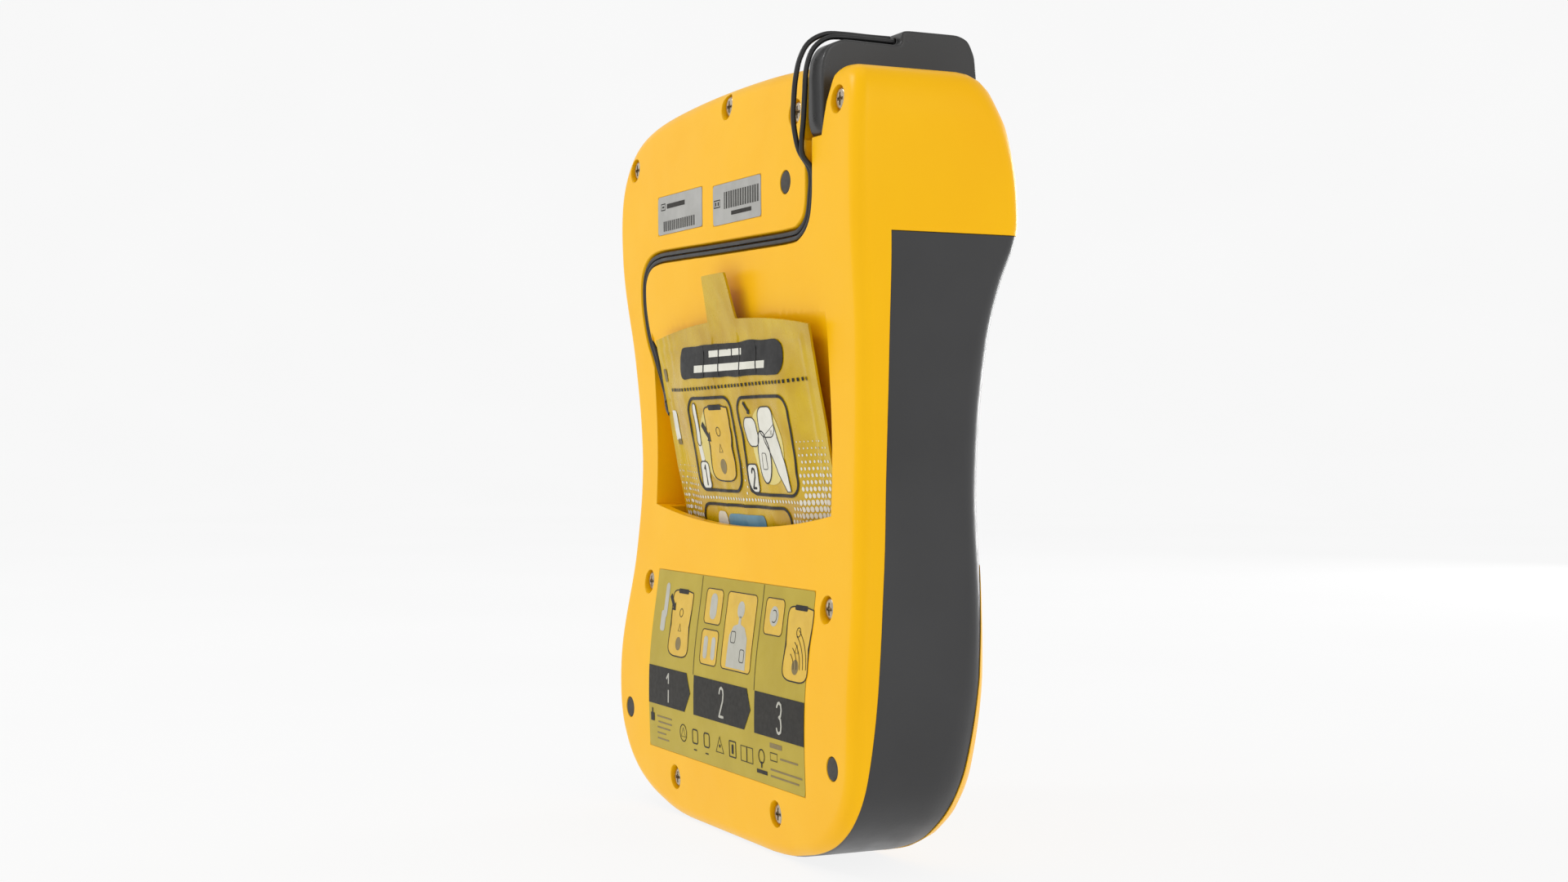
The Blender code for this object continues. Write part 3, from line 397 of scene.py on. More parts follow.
def pocket_slot(name, half_width, wall, rear):
    """The pocket behind its lip, where the pouch's foot stands."""
    upper, lower = POCKET_FLOOR[2:]
    side = [(upper[0] - wall, upper[1]), (lower[0] - wall, lower[1] - wall)]
    for height in np.linspace(lower[1] - wall, upper[1], 8):
        side.append((float(rear_depth(height)) - rear, height))
    return prism(name, side, -half_width, half_width, "X")


def notch_cutters(name, wall):
    """The notch for the plug's top bar, and the deeper channel for its leg."""
    grown = [(x + wall if x > PLUG_FAR else x - wall, z if z > 240 else z - wall) for x, z in NOTCH]
    top = [(x, max(z, NOTCH_FLOOR - wall)) for x, z in grown if z > 220 or x > PLUG_FAR]
    return (prism(name + "_bar", top, -60, 60, "Y"),
            prism(name + "_leg", grown, NOTCH_STEP - wall, 60, "Y"))


def groove_cutter():
    """The groove that holds the lead, with a rounded floor and a slightly opened mouth."""
    route = smooth_route(GROOVE_ROUTE, 8)
    ahead = np.gradient(route, axis=0)
    sideways = np.column_stack([-ahead[:, 1], ahead[:, 0]]) / np.linalg.norm(ahead, axis=1)[:, None]
    section = [(-1.9, 8), (-1.22, 2.9), (-1.08, 2.3), (-1, 1.8), (-1, 0.7), (-0.9, 0.25), (-0.6, 0)]
    section = section + [(-side, up) for side, up in reversed(section)]
    rings = []
    for place, side in zip(route, sideways * GROOVE_HALF_WIDTH):
        floor = float(rear_depth(place[1])) - GROOVE_DEPTH
        rings.append([(place[0] + side[0] * reach, floor + up, place[1] + side[1] * reach)
                      for reach, up in section])
    return make_object("groove", *ring_shape(rings, domed=False))


def grip_region(name, margin):
    """The band that the side grip fills, but not the middle of the front."""
    rear = smooth_route([(y + margin, z + (margin if z > 180 else 0)) for y, z in GRIP_REAR], 4)
    front = [(y - margin, z + (margin if z > 180 else 0)) for y, z in GRIP_FRONT]
    region = prism(name, [*map(tuple, rear), *front], -100, 100, "X")
    core = prism(name + "_core", inset(case_outline(5), GRIP_WRAP + margin), -60, -13.9 - margin, "Y")
    combine(region, "DIFFERENCE", core)
    return region


def srgb(red, green, blue):
    """A colour given as display values of 0 to 255, as linear light."""
    found = []
    for value in (red, green, blue):
        part = value / 255
        found.append(part / 12.92 if part <= 0.04045 else ((part + 0.055) / 1.055) ** 2.4)
    return (*found, 1)


def surface(name, colour, shade, roughness, spread=0.06, mottle=28, grain=0.02, grain_scale=1600, edge=0.35,
            metallic=0.0, coat=0.0, specular=0.5, transmission=0.0, glow=0.0, slot=None):
    """A moulded, printed or plated surface: mottled colour, uneven gloss, fine grain and rounded edges."""
    made = bpy.data.materials.new(name)
    made.use_nodes = True
    nodes = made.node_tree.nodes
    links = made.node_tree.links
    shader = nodes["Principled BSDF"]
    shader.inputs["Metallic"].default_value = metallic
    shader.inputs["Coat Weight"].default_value = coat
    shader.inputs["Coat Roughness"].default_value = 0.18
    shader.inputs["Specular IOR Level"].default_value = specular
    shader.inputs["Emission Strength"].default_value = glow
    shader.inputs["Transmission Weight"].default_value = transmission
    place = nodes.new("ShaderNodeTexCoord")

    def noise_at(scale, detail):
        node = nodes.new("ShaderNodeTexNoise")
        node.inputs["Scale"].default_value = scale
        node.inputs["Detail"].default_value = detail
        links.new(place.outputs["Object"], node.inputs["Vector"])
        return node

    def ranged(node, low, high):
        span = nodes.new("ShaderNodeMapRange")
        span.inputs["From Min"].default_value = 0.34
        span.inputs["From Max"].default_value = 0.66
        span.inputs["To Min"].default_value = low
        span.inputs["To Max"].default_value = high
        links.new(node.outputs["Fac"], span.inputs["Value"])
        return span

    tint = nodes.new("ShaderNodeMix")
    tint.data_type = "RGBA"
    tint.inputs["A"].default_value = colour
    tint.inputs["B"].default_value = shade
    links.new(ranged(noise_at(mottle, 4), 0, 1).outputs["Result"], tint.inputs["Factor"])
    links.new(tint.outputs["Result"], shader.inputs["Base Color"])
    gloss = ranged(noise_at(mottle * 4, 5), roughness - spread / 2, roughness + spread / 2)
    links.new(gloss.outputs["Result"], shader.inputs["Roughness"])
    rounded = nodes.new("ShaderNodeBevel")
    rounded.samples = 4
    rounded.inputs["Radius"].default_value = edge * MM
    bump = nodes.new("ShaderNodeBump")
    bump.inputs["Strength"].default_value = 0.5
    bump.inputs["Distance"].default_value = grain * MM
    links.new(noise_at(grain_scale, 3).outputs["Fac"], bump.inputs["Height"])
    links.new(rounded.outputs["Normal"], bump.inputs["Normal"])
    links.new(bump.outputs["Normal"], shader.inputs["Normal"])
    made["slot"] = slot or ""
    return made


def ink(name, colour, shade, roughness=0.4, specular=0.5, slot="pouch_foil"):
    """A thin, even film of printing ink."""
    return surface(name, srgb(*colour), srgb(*shade), roughness, 0.08, 150, 0.004, 2500, 0.05,
                   specular=specular, slot=slot)


YELLOW = surface("yellow_moulding_fine", srgb(251, 190, 4), srgb(249, 185, 2), 0.34, 0.05, 22, 0.012, 2200,
                 0.5, specular=0.16, slot="yellow_moulding")
GRIP = surface("dark_grip", srgb(46, 46, 47), srgb(41, 41, 42), 0.36, 0.08, 30, 0.05, 1500, 0.5,
               slot="dark_moulding")
PLUG = surface("dark_plug", srgb(50, 50, 50), srgb(44, 44, 44), 0.3, 0.06, 40, 0.02, 1800, 0.9,
               slot="dark_moulding")
BLACK = surface("black_plastic", srgb(34, 34, 35), srgb(27, 27, 28), 0.45, 0.1, 60, 0.02, 1500, 0.3,
                slot="black_moulding")
LEAD = surface("lead_sleeve", srgb(24, 24, 24), srgb(18, 18, 18), 0.4, 0.1, 120, 0.01, 2500, 0.1,
               slot="black_moulding")
RUBBER = surface("foot_rubber", srgb(64, 60, 54), srgb(50, 47, 43), 0.7, 0.1, 200, 0.03, 1500, 0.3,
                 slot="rubber")
STEEL = surface("screw_plating", srgb(196, 184, 164), srgb(164, 150, 128), 0.3, 0.14, 500, 0.01, 2500,
                0.25, metallic=1.0, slot="plated_steel")
COPPER = surface("winding", srgb(190, 120, 70), srgb(150, 90, 50), 0.4, 0.1, 300, 0.05, 900, 0.3,
                 metallic=1.0, slot="copper_winding")
GREEN_KEY = surface("green_key_fine", srgb(46, 150, 70), srgb(38, 136, 60), 0.36, 0.06, 60, 0.015, 1800,
                    0.4, slot="green_key")
ORANGE_KEY = surface("orange_key_fine", srgb(236, 110, 36), srgb(226, 100, 30), 0.36, 0.06, 60, 0.015,
                     1800, 0.4, slot="orange_key")
RED_LATCH = surface("latch_fine", srgb(170, 36, 30), srgb(150, 30, 26), 0.4, 0.08, 60, 0.02, 1800, 0.4,
                    slot="red_latch")
LENS = surface("lens_fine", srgb(110, 215, 120), srgb(90, 195, 105), 0.14, 0.04, 90, 0.004, 1500, 0.3,
               transmission=0.35, slot="clear_lens")
GLASS = surface("window_fine", srgb(26, 30, 33), srgb(20, 24, 27), 0.07, 0.02, 60, 0.001, 600, 0.2,
                coat=0.4, slot="display_glass")
BOARD = surface("board_fine", srgb(22, 92, 48), srgb(16, 74, 38), 0.45, 0.1, 300, 0.03, 900, 0.2,
                slot="circuit_board")
FILM = surface("instruction_film_fine", srgb(186, 164, 52), srgb(178, 156, 46), 0.36, 0.06, 60, 0.01,
               1500, 0.1, specular=0.15, slot="instruction_film")
DATA_FILM = surface("data_film_fine", srgb(172, 171, 166), srgb(160, 159, 154), 0.38, 0.06, 120, 0.01,
                    1500, 0.1, slot="data_film")
FOIL = surface("pouch_foil_fine", srgb(206, 172, 4), srgb(186, 148, 2), 0.28, 0.1, 60, 0.02, 420, 0.1,
               specular=0.3, slot="pouch_foil")
GLOW_INK = surface("glow_ink", srgb(222, 206, 122), srgb(214, 194, 100), 0.36, 0.1, 60, 0.01, 1500, 0.05,
                   slot="pouch_foil")
INK = ink("dark_ink", (40, 37, 31), (33, 31, 26), 0.45, 0.15, "instruction_film")
SHADE_INK = ink("shade_ink", (128, 108, 44), (118, 98, 38), slot="instruction_film")
GREY_INK = ink("grey_ink", (186, 184, 172), (176, 174, 160), slot="instruction_film")
YELLOW_INK = ink("yellow_ink", (222, 180, 34), (212, 170, 28), 0.38, slot="instruction_film")
WHITE_INK = ink("white_ink", (228, 226, 214), (216, 214, 200))
BLACK_INK = ink("black_ink", (22, 20, 19), (17, 16, 15), specular=0.2)
BLUE_INK = ink("blue_ink", (96, 150, 180), (84, 138, 168), 0.38)


def place_piece(item, body, material, *nodes):
    """Rides the piece on its body, in place of the CAD nodes it stands for."""
    item.data.materials.clear()
    item.data.materials.append(material)
    if nodes:
        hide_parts(*nodes)
    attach(item, body)
    return item


# Stage, in metres and degrees: camera, a pale floor that sweeps up all round, and soft studio light as
# (place, target, size, watts).
CAMERA_TARGET = (0.0154, 0.0, 0.12728)
CAMERA_DISTANCE = 0.71015
CAMERA_AZIMUTH = 244.49
CAMERA_ELEVATION = 0.03
CAMERA_LENS = 48.75
FLOOR_RADIUS = 3.0
FLOOR_SWEEP = 1.6
FLOOR_WALL_TOP = 2.2
FLOOR_SIDES = 96
PAPER_GLOW = 0.865
SKY_STRENGTH = 0.6
LIGHTS = {
    "key_light": ((0.75, 1.35, 1.35), (0, 0.02, 0.13), 0.5, 9),
    "side_light": ((-1.5, -0.35, 0.9), (0, 0, 0.12), 0.8, 3),
    "front_light": ((0.62, -1.5, 0.3), (0, 0, 0.12), 0.6, 10),
    "top_light": ((-0.2, 0.3, 1.9), (0, 0, 0.1), 1.2, 2),
}


def aim(item, target):
    """Points an object's -Z axis at the target, with its Y axis up."""
    item.rotation_euler = (Vector(target) - item.location).to_track_quat("-Z", "Y").to_euler()


def make_camera():
    """The main view: level with the middle of the object, from beside it and a little behind."""
    camera = bpy.data.objects.new("camera", bpy.data.cameras.new("camera"))
    bpy.context.scene.collection.objects.link(camera)
    turn, rise = math.radians(CAMERA_AZIMUTH), math.radians(CAMERA_ELEVATION)
    away = Vector((math.sin(turn) * math.cos(rise), -math.cos(turn) * math.cos(rise), math.sin(rise)))
    camera.location = Vector(CAMERA_TARGET) + away * CAMERA_DISTANCE
    camera.data.lens = CAMERA_LENS
    camera.data.sensor_width = 36
    camera.data.clip_start = 0.01
    aim(camera, CAMERA_TARGET)
    bpy.context.scene.camera = camera


def make_light(name, place, target, size, power):
    light = bpy.data.objects.new(name, bpy.data.lights.new(name, "AREA"))
    bpy.context.scene.collection.objects.link(light)
    light.data.shape = "DISK"
    light.data.size = size
    light.data.energy = power
    light.location = place
    aim(light, target)


def make_stage():
    """The floor, the lights and an even sky."""
    profile = [(0.25, 0), (1, 0), (FLOOR_RADIUS, 0)]
    for turn in np.radians(np.linspace(8, 90, 12)):
        profile.append((FLOOR_RADIUS + FLOOR_SWEEP * math.sin(turn), FLOOR_SWEEP * (1 - math.cos(turn))))
    profile.append((FLOOR_RADIUS + FLOOR_SWEEP, FLOOR_WALL_TOP))
    rings = [np.column_stack([*(circle(0, 0, radius, FLOOR_SIDES).T), np.full(FLOOR_SIDES, height)]) / MM
             for radius, height in profile]
    points, faces = ring_shape(rings, domed=False)
    floor = make_object("studio_floor", points, faces[:-1])
    floor.data.shade_smooth()
    paper = surface("studio_paper", srgb(90, 90, 90), srgb(86, 86, 86), 0.9, 0.04, 3, 0.02, 200, 0.1,
                    specular=0.0, glow=PAPER_GLOW)
    paper.node_tree.nodes["Principled BSDF"].inputs["Emission Color"].default_value = (1, 1, 1, 1)
    floor.data.materials.append(paper)
    shape = bmesh.new()
    shape.from_mesh(floor.data)
    for face in shape.faces:
        if face.normal.z < -0.01 or face.calc_center_median().dot(face.normal) > 0.01:
            face.normal_flip()
    shape.to_mesh(floor.data)
    shape.free()
    for name, (place, target, size, power) in LIGHTS.items():
        make_light(name, place, target, size, power)
    world = bpy.data.worlds.new("studio")
    world.use_nodes = True
    world.node_tree.nodes["Background"].inputs["Color"].default_value = (1, 1, 1, 1)
    world.node_tree.nodes["Background"].inputs["Strength"].default_value = SKY_STRENGTH
    bpy.context.scene.world = world
    bpy.context.scene.view_settings.view_transform = "Standard"


make_camera()
make_stage()


def make_back_shell():
    """The tub: rear wall, sides and shoulders, with the pocket, notch, groove and battery mouth."""
    void = case_body("shell_hollow", WALL, REAR_WALL)
    combine(void, "DIFFERENCE",
            pocket_mouth("mouth_walls", POCKET_HALF_WIDTH + POCKET_WALL, POCKET_WALL, 7),
            pocket_slot("slot_walls", POCKET_LOWER_HALF_WIDTH + POCKET_WALL, POCKET_WALL, 0),
            *notch_cutters("notch_walls", NOTCH_WALL))
    front = prism("cover_opening", inset(case_outline(5), COVER_INSET), -60, COVER_BACK, "Y")
    recess = grip_region("grip_recess", GAP * 0.4)
    combine(recess, "DIFFERENCE", case_body("grip_bed", GRIP_THICKNESS + GAP, fine=True))
    battery = box("battery_mouth", (-BATTERY_HALF_WIDTH - GAP, BATTERY_FRONT - GAP, 225),
                  (BATTERY_HALF_WIDTH + GAP, BATTERY_REAR + GAP, 260))
    socket = box("socket_mouth", (PIN_ACROSS - 4.8, SOCKET_FRONT - GAP, 220),
                 (PIN_ACROSS + 4.8, SOCKET_REAR + GAP, 230))
    shell = case_body("visible_back_shell", 0, fine=True)
    combine(shell, "DIFFERENCE", void, front, recess)
    combine(shell, "DIFFERENCE", pocket_mouth("pocket_mouth", POCKET_HALF_WIDTH, 0, 33),
            pocket_slot("pocket_slot", POCKET_LOWER_HALF_WIDTH, 0, LIP_WALL), *notch_cutters("notch", 0),
            groove_cutter(), battery, socket)
    for name, (across, height) in SCREWS.items():
        face = float(rear_depth(height))
        floor = face - SCREW_SINK - SCREW_HEAD - GAP
        combine(shell, "DIFFERENCE", turned(name + "_hole", (across, height), [
            (face - 9, SCREW_SHANK_RADIUS + GAP), (floor, SCREW_SHANK_RADIUS + GAP),
            (floor + 0.001, COUNTERBORE_RADIUS), (face - 0.4, COUNTERBORE_RADIUS),
            (face + 1.6, COUNTERBORE_RADIUS + 0.9)]))
    for name, (across, height) in FEET.items():
        face = float(rear_depth(height))
        combine(shell, "DIFFERENCE", turned(name + "_hole", (across, height), [
            (face - 2, FOOT_RADIUS + 0.15), (face + 4, FOOT_RADIUS + 0.15)]))
    for name, span in LABELS.items():
        combine(shell, "DIFFERENCE", curved_patch(name + "_bed", span, -0.18, 4, 0.12))
    soften(shell)
    place_piece(shell, "case", YELLOW, "back_shell")


def make_side_grip():
    """The dark band down both sides and under the foot, level with the case."""
    grip = case_body("visible_side_grip", GRIP_SINK, fine=True)
    combine(grip, "DIFFERENCE", case_body("grip_inside", GRIP_THICKNESS + 0.2, fine=True))
    combine(grip, "INTERSECT", grip_region("grip_band", 0))
    soften(grip)
    place_piece(grip, "case", GRIP, "side_grip")


def make_plug():
    """The pads plug: a hooked bar with rounded edges, a raised end and small thumb grooves."""
    outline = smooth_outline(PLUG_OUTLINE, 3)
    plug = prism("visible_pads_plug", outline, PLUG_NEAR, PLUG_FAR, "X")
    step = plug.modifiers.new("soft edges", "BEVEL")
    step.width = PLUG_EDGE * MM
    step.segments = 5
    step.limit_method = "ANGLE"
    step.angle_limit = math.radians(60)
    apply_modifiers(plug)
    for along in THUMB_GROOVES:
        combine(plug, "DIFFERENCE", box("groove", (PLUG_NEAR + 2, along - 0.5, THUMB_GROOVE_FLOOR),
                                        (PLUG_FAR - 2, along + 0.5, 252)))
    for across in (-63.9, -66.3):
        combine(plug, "DIFFERENCE", prism("lead_hole", circle(across, 246.9, 0.9, 20), 0.4, 6, "Y"))
    soften(plug)
    place_piece(plug, "plug", PLUG, "pads_plug")


def smooth_outline(points, steps):
    """Straight runs kept, with rounder bends: each corner is cut and the cut smoothed."""
    given = np.array(points, float)
    for _ in range(steps):
        ahead = np.roll(given, -1, axis=0)
        length = np.linalg.norm(ahead - given, axis=1)
        cut_near = np.minimum(0.25, 0.9 / np.maximum(length, 1e-6))[:, None]
        given = np.stack([given + (ahead - given) * cut_near, ahead - (ahead - given) * cut_near], axis=1)
        given = given.reshape(-1, 2)
        keep = np.linalg.norm(given - np.roll(given, 1, axis=0), axis=1) > 0.05
        given = given[keep]
    return given


def make_leads():
    """Both strands from the plug to the pouch, each parted at the middle of the groove's top run."""
    route = np.array(GROOVE_ROUTE[1:-1], float)
    ahead = np.gradient(route, axis=0)
    sideways = np.column_stack([-ahead[:, 1], ahead[:, 0]]) / np.linalg.norm(ahead, axis=1)[:, None]
    strands = (("outer", OUTER_LOOP, LEAD_PAIR, LOWER_TAIL), ("inner", INNER_LOOP, -LEAD_PAIR, UPPER_TAIL))
    lengths = {}
    for name, loop, shift, tail in strands:
        laid = [(x, float(rear_depth(z)) - LEAD_SINK, z) for x, z in route + sideways * shift]
        points = even_route(loop + laid + tail, LEAD_STEP)
        lengths[name] = float(np.linalg.norm(np.diff(points, axis=0), axis=1).sum())
        split = int(np.argmax((points[:, 0] > LEAD_SPLIT_ACROSS) & (points[:, 2] < 200)))
        first = tube(f"visible_lead_{name}_loop", points[:split + 1])
        last = tube(f"visible_lead_{name}_run", points[split:])
        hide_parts(f"lead_{name}_loop")
        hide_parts(f"lead_{name}_run")
        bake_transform(first)
        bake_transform(last)
    return lengths


def tube(name, points):
    """A lead's round sleeve along the points, with its ends closed."""
    ahead = np.gradient(points, axis=0)
    ahead /= np.linalg.norm(ahead, axis=1)[:, None]
    side = np.cross(ahead[0], (0, 0, 1) if abs(ahead[0][2]) < 0.9 else (1, 0, 0))
    rings = []
    for place, heading in zip(points, ahead):
        side = side - heading * np.dot(side, heading)
        side /= np.linalg.norm(side)
        other = np.cross(heading, side)
        turns = np.arange(LEAD_SIDES) * 2 * math.pi / LEAD_SIDES
        around = np.outer(np.cos(turns), side) + np.outer(np.sin(turns), other)
        rings.append(place + LEAD_RADIUS * around)
    item = make_object(name, *ring_shape(rings, domed=False), LEAD)
    return soften(item, sharp=60)


def make_screws():
    """Pan heads with a domed face and a cross recess."""
    for name, (across, height) in SCREWS.items():
        face = float(rear_depth(height)) - SCREW_SINK
        under = face - SCREW_HEAD
        dome = [(face - 0.9 + 0.9 * math.sin(turn), SCREW_HEAD_RADIUS - 0.9 + 0.9 * math.cos(turn))
                for turn in np.radians(np.linspace(0, 90, 6))]
        dome += [(face + 0.14, 1.6), (face + 0.18, 0.5)]
        head = turned("visible_" + name, (across, height), [(under - 4, SCREW_SHANK_RADIUS),
                                                            (under, SCREW_SHANK_RADIUS), *dome])
        for wide, high in ((1.9, 0.42), (0.42, 1.9)):
            combine(head, "DIFFERENCE", box("recess", (across - wide, face - 1.1, height - high),
                                            (across + wide, face + 1, height + high)))
        middle = [(face - 1.4, 0.3), (face - 0.4, 0.95), (face + 1, 1.1)]
        combine(head, "DIFFERENCE", turned("recess_middle", (across, height), middle, sides=16))
        soften(head)
        place_piece(head, "case", STEEL, name)


def make_feet():
    """Flat rubber buttons, level with the back."""
    for name, (across, height) in FEET.items():
        face = float(rear_depth(height))
        foot = turned("visible_" + name, (across, height), [
            (face - 1.7, FOOT_RADIUS), (face - 0.35, FOOT_RADIUS), (face - 0.1, FOOT_RADIUS - 0.2),
            (face, FOOT_RADIUS - 0.6), (face + 0.02, 1)])
        soften(foot)
        place_piece(foot, "case", RUBBER, name)


POUCH_HEIGHT = math.dist(POUCH_FOOT, POUCH_TOP)
POUCH_ALONG = (np.array(POUCH_TOP) - np.array(POUCH_FOOT)) / POUCH_HEIGHT
POUCH_OUTWARD = np.array([POUCH_ALONG[1], -POUCH_ALONG[0]])


def ease(value):
    part = min(max(value, 0.0), 1.0)
    return part * part * (3 - 2 * part)


def crease(across, along, scale, seed):
    """Sharp-edged ripples, from 0 in the folds to 1 on the flats."""
    return 1 - 2 * abs(noise.noise(Vector((across / scale + seed, along / scale, seed * 1.7))))


def pouch_top(across):
    """The height of the pouch's upper edge, which dips towards both corners and rises into the tab."""
    middle = POUCH_ACROSS - POUCH_LEAN * POUCH_HEIGHT
    away = abs(across - middle)
    tab = ease((TAB_HALF_WIDTH + 1.6 - abs(across - middle - TAB_SHIFT)) / 2.4)
    return POUCH_HEIGHT - POUCH_DIP * (away / POUCH_HALF_WIDTH) ** 2 + TAB_LENGTH * tab


def pouch_point(across, along, side, lift=0.0):
    """A point on the pouch's front (side 1) or back (side -1), from its place on the flat bag.

    Inside the flange the bag fills out over 16 mm, with a ridge where the seal starts, wide and narrow
    creases, folds along the right-hand edge, and a slow bend of the whole bag.
    """
    middle = POUCH_ACROSS - POUCH_LEAN * min(along, POUCH_HEIGHT)
    to_edge = POUCH_HALF_WIDTH - abs(across - middle)
    to_top = POUCH_HEIGHT - 2 - along
    inside = min(to_edge, along) - POUCH_FLANGE
    full = ease(inside / 16) * ease((to_top - POUCH_FLANGE) / 14) ** 0.8
    ridge = math.exp(-((min(inside, to_top - POUCH_FLANGE) - 0.4) / 0.9) ** 2) * 0.4
    ripple = 0.5 * crease(across, along, 17, 3.1) + 0.28 * crease(across, along, 8, 7.7)
    edge_folds = 0.5 * crease(across * 2.2, along * 0.35, 9, 11.3) * ease((across - middle - 40) / 14)
    tall = (POUCH_THICKNESS - POUCH_SEAM) * full / 2
    bend = 0.55 * noise.noise(Vector((across / 34, along / 30, 5.5))) * (1 if along < POUCH_HEIGHT else 0.6)
    wrinkle = (ripple * (0.25 + 0.55 * full) + edge_folds - 0.45) * 0.95
    out = side * (POUCH_SEAM / 2 + tall + ridge) + bend + wrinkle * (1 if side > 0 else 0.9) + lift
    spot = np.array(POUCH_FOOT) + POUCH_ALONG * along + POUCH_OUTWARD * out
    return (across, *spot)


def make_pouch():
    """The foil pouch: sealed flange, filled middle, creases and pull tab, worked directly in the mesh."""
    edges = [(TAB_SHIFT + side * (TAB_HALF_WIDTH + step)) / POUCH_HALF_WIDTH
             for side in (-1, 1) for step in np.linspace(-1.4, 1.8, 9)]
    columns = sorted({*np.round(np.linspace(-1, 1, POUCH_COLUMNS), 4), *np.round(edges, 4)})
    rows = np.linspace(0, 1, POUCH_ROWS)
    grids = []
    for side in (1, -1):
        grid = []
        for row in rows:
            line = []
            for column in columns:
                middle = POUCH_ACROSS - POUCH_LEAN * POUCH_HEIGHT * row
                across = middle + POUCH_HALF_WIDTH * column
                line.append(pouch_point(across, row * pouch_top(across), side))
            grid.append(line)
        grids.append(grid)
    rings = [front + back[::-1] for front, back in zip(*grids)]
    points, faces = ring_shape(rings, domed=False)
    count, around = len(columns), 2 * len(columns)
    faces = faces[:-2]
    for base in (0, (len(rings) - 1) * around):
        for i in range(count - 1):
            faces.append((base + i, base + i + 1, base + around - 2 - i, base + around - 1 - i))
    pouch = make_object("visible_pads_pouch", points, faces)
    soften(pouch, sharp=70)
    place_piece(pouch, "pouch", FOIL, "pads_pouch")


def rect(left, right, low, high):
    return [(left, low), (right, low), (right, high), (left, high)]


def rounded(left, right, low, high, radius, sides=6):
    """A rectangle with round corners."""
    found = []
    corners = ((right - radius, low + radius, -90), (right - radius, high - radius, 0),
               (left + radius, high - radius, 90), (left + radius, low + radius, 180))
    for across, up, start in corners:
        for turn in np.radians(np.linspace(start, start + 90, sides)):
            found.append((across + radius * math.cos(turn), up + radius * math.sin(turn)))
    return found


def loop(outline, width):
    """A closed line of that width just inside an outline, as a strip of four-sided pieces."""
    points = np.array(outline, float)
    points = points[np.linalg.norm(points - np.roll(points, 1, axis=0), axis=1) > 1e-6]
    ahead = np.roll(points, -1, axis=0) - np.roll(points, 1, axis=0)
    normal = np.column_stack([-ahead[:, 1], ahead[:, 0]]) / np.linalg.norm(ahead, axis=1)[:, None]
    area = np.sum(points[:, 0] * np.roll(points[:, 1], -1) - points[:, 1] * np.roll(points[:, 0], -1))
    inner = points + normal * width * (1 if area > 0 else -1)
    return [[points[i - 1], points[i], inner[i], inner[i - 1]] for i in range(len(points))]


def stroke(points, width):
    """A line through the points, with round joints."""
    found = []
    for (x0, z0), (x1, z1) in zip(points, points[1:]):
        length = math.hypot(x1 - x0, z1 - z0)
        side = (-(z1 - z0) / length * width / 2, (x1 - x0) / length * width / 2)
        found.append([(x0 + side[0], z0 + side[1]), (x1 + side[0], z1 + side[1]),
                      (x1 - side[0], z1 - side[1]), (x0 - side[0], z0 - side[1])])
    return found + [circle(*point, width / 2, 10) for point in points]


def arc(across, up, radius, start, end, width, sides=14):
    turns = np.radians(np.linspace(start, end, sides))
    return stroke([(across + radius * math.cos(t), up + radius * math.sin(t)) for t in turns], width)


def digit(number, across, low, high, width):
    """A narrow numeral, as strokes: X runs to the left when the back is looked at."""
    tall = high - low
    half = -0.17 * tall
    routes = {
        1: [[(-0.7, 0.84), (0.25, 1), (0.25, 0)]],
        2: [[(-1, 0.8), (-0.7, 0.95), (0, 1), (0.75, 0.94), (1, 0.78), (0.8, 0.56), (-1, 0), (1, 0)]],
        3: [[(-1, 0.86), (-0.6, 0.97), (0, 1), (0.75, 0.94), (1, 0.77), (0.7, 0.58), (0, 0.53),
             (0.75, 0.47), (1, 0.24), (0.75, 0.06), (0, 0), (-0.65, 0.03), (-1, 0.14)]],
    }
    found = []
    for route in routes[number]:
        found += stroke([(across + x * half, low + z * tall) for x, z in route], width)
    return found


def arrow(start, end, width):
    """A thick arrow from start to end."""
    (x0, z0), (x1, z1) = start, end
    length = math.hypot(x1 - x0, z1 - z0)
    ahead = np.array([(x1 - x0) / length, (z1 - z0) / length])
    side = np.array([-ahead[1], ahead[0]]) * width / 2
    tail, tip = np.array(start), np.array(end)
    neck = tip - ahead * width * 1.3
    shaft = [tail + side, neck + side, neck - side, tail - side]
    return [shaft, [neck + side * 2.2, tip, neck - side * 2.2]]


def bar_code(left, right, low, high):
    """Upright bars of uneven width that carry no code."""
    bars = []
    position, step = left, 0
    while position < right:
        width = 0.34 + 0.3 * ((step * 7) % 3)
        bars.append(rect(position, min(position + width, right), low, high))
        position += width + 0.36 + 0.22 * ((step * 5) % 3)
        step += 1
    return bars


def device_shapes(across, low, high):
    """A small front view of the case: (body, dark lines, speaker) as lists of outlines."""
    scale = (high - low) / (2 * MID_HEIGHT)
    outline = case_outline(2)
    body = [(across + x * scale, low + z * scale) for x, z in outline]

    def at(x, z):
        return across + x * scale, low + z * scale

    dark = loop(body, 0.42)
    dark.append(rounded(at(-45, 0)[0], at(45, 0)[0], at(0, 226)[1], at(0, 243)[1], 0.7))
    for side in (-1, 1):
        dark.append([at(side * 92, 176), at(side * 87, 112), at(side * 91, 56), at(side * 78, 112)])
    dark += arc(*at(0, 158), 12 * scale + 0.25, 0, 360, 0.25)
    dark += loop([at(-13, 92), at(13, 92), at(0, 120)], 0.25)
    return [body], dark, [circle(*at(0, 48), 24 * scale, 20)]


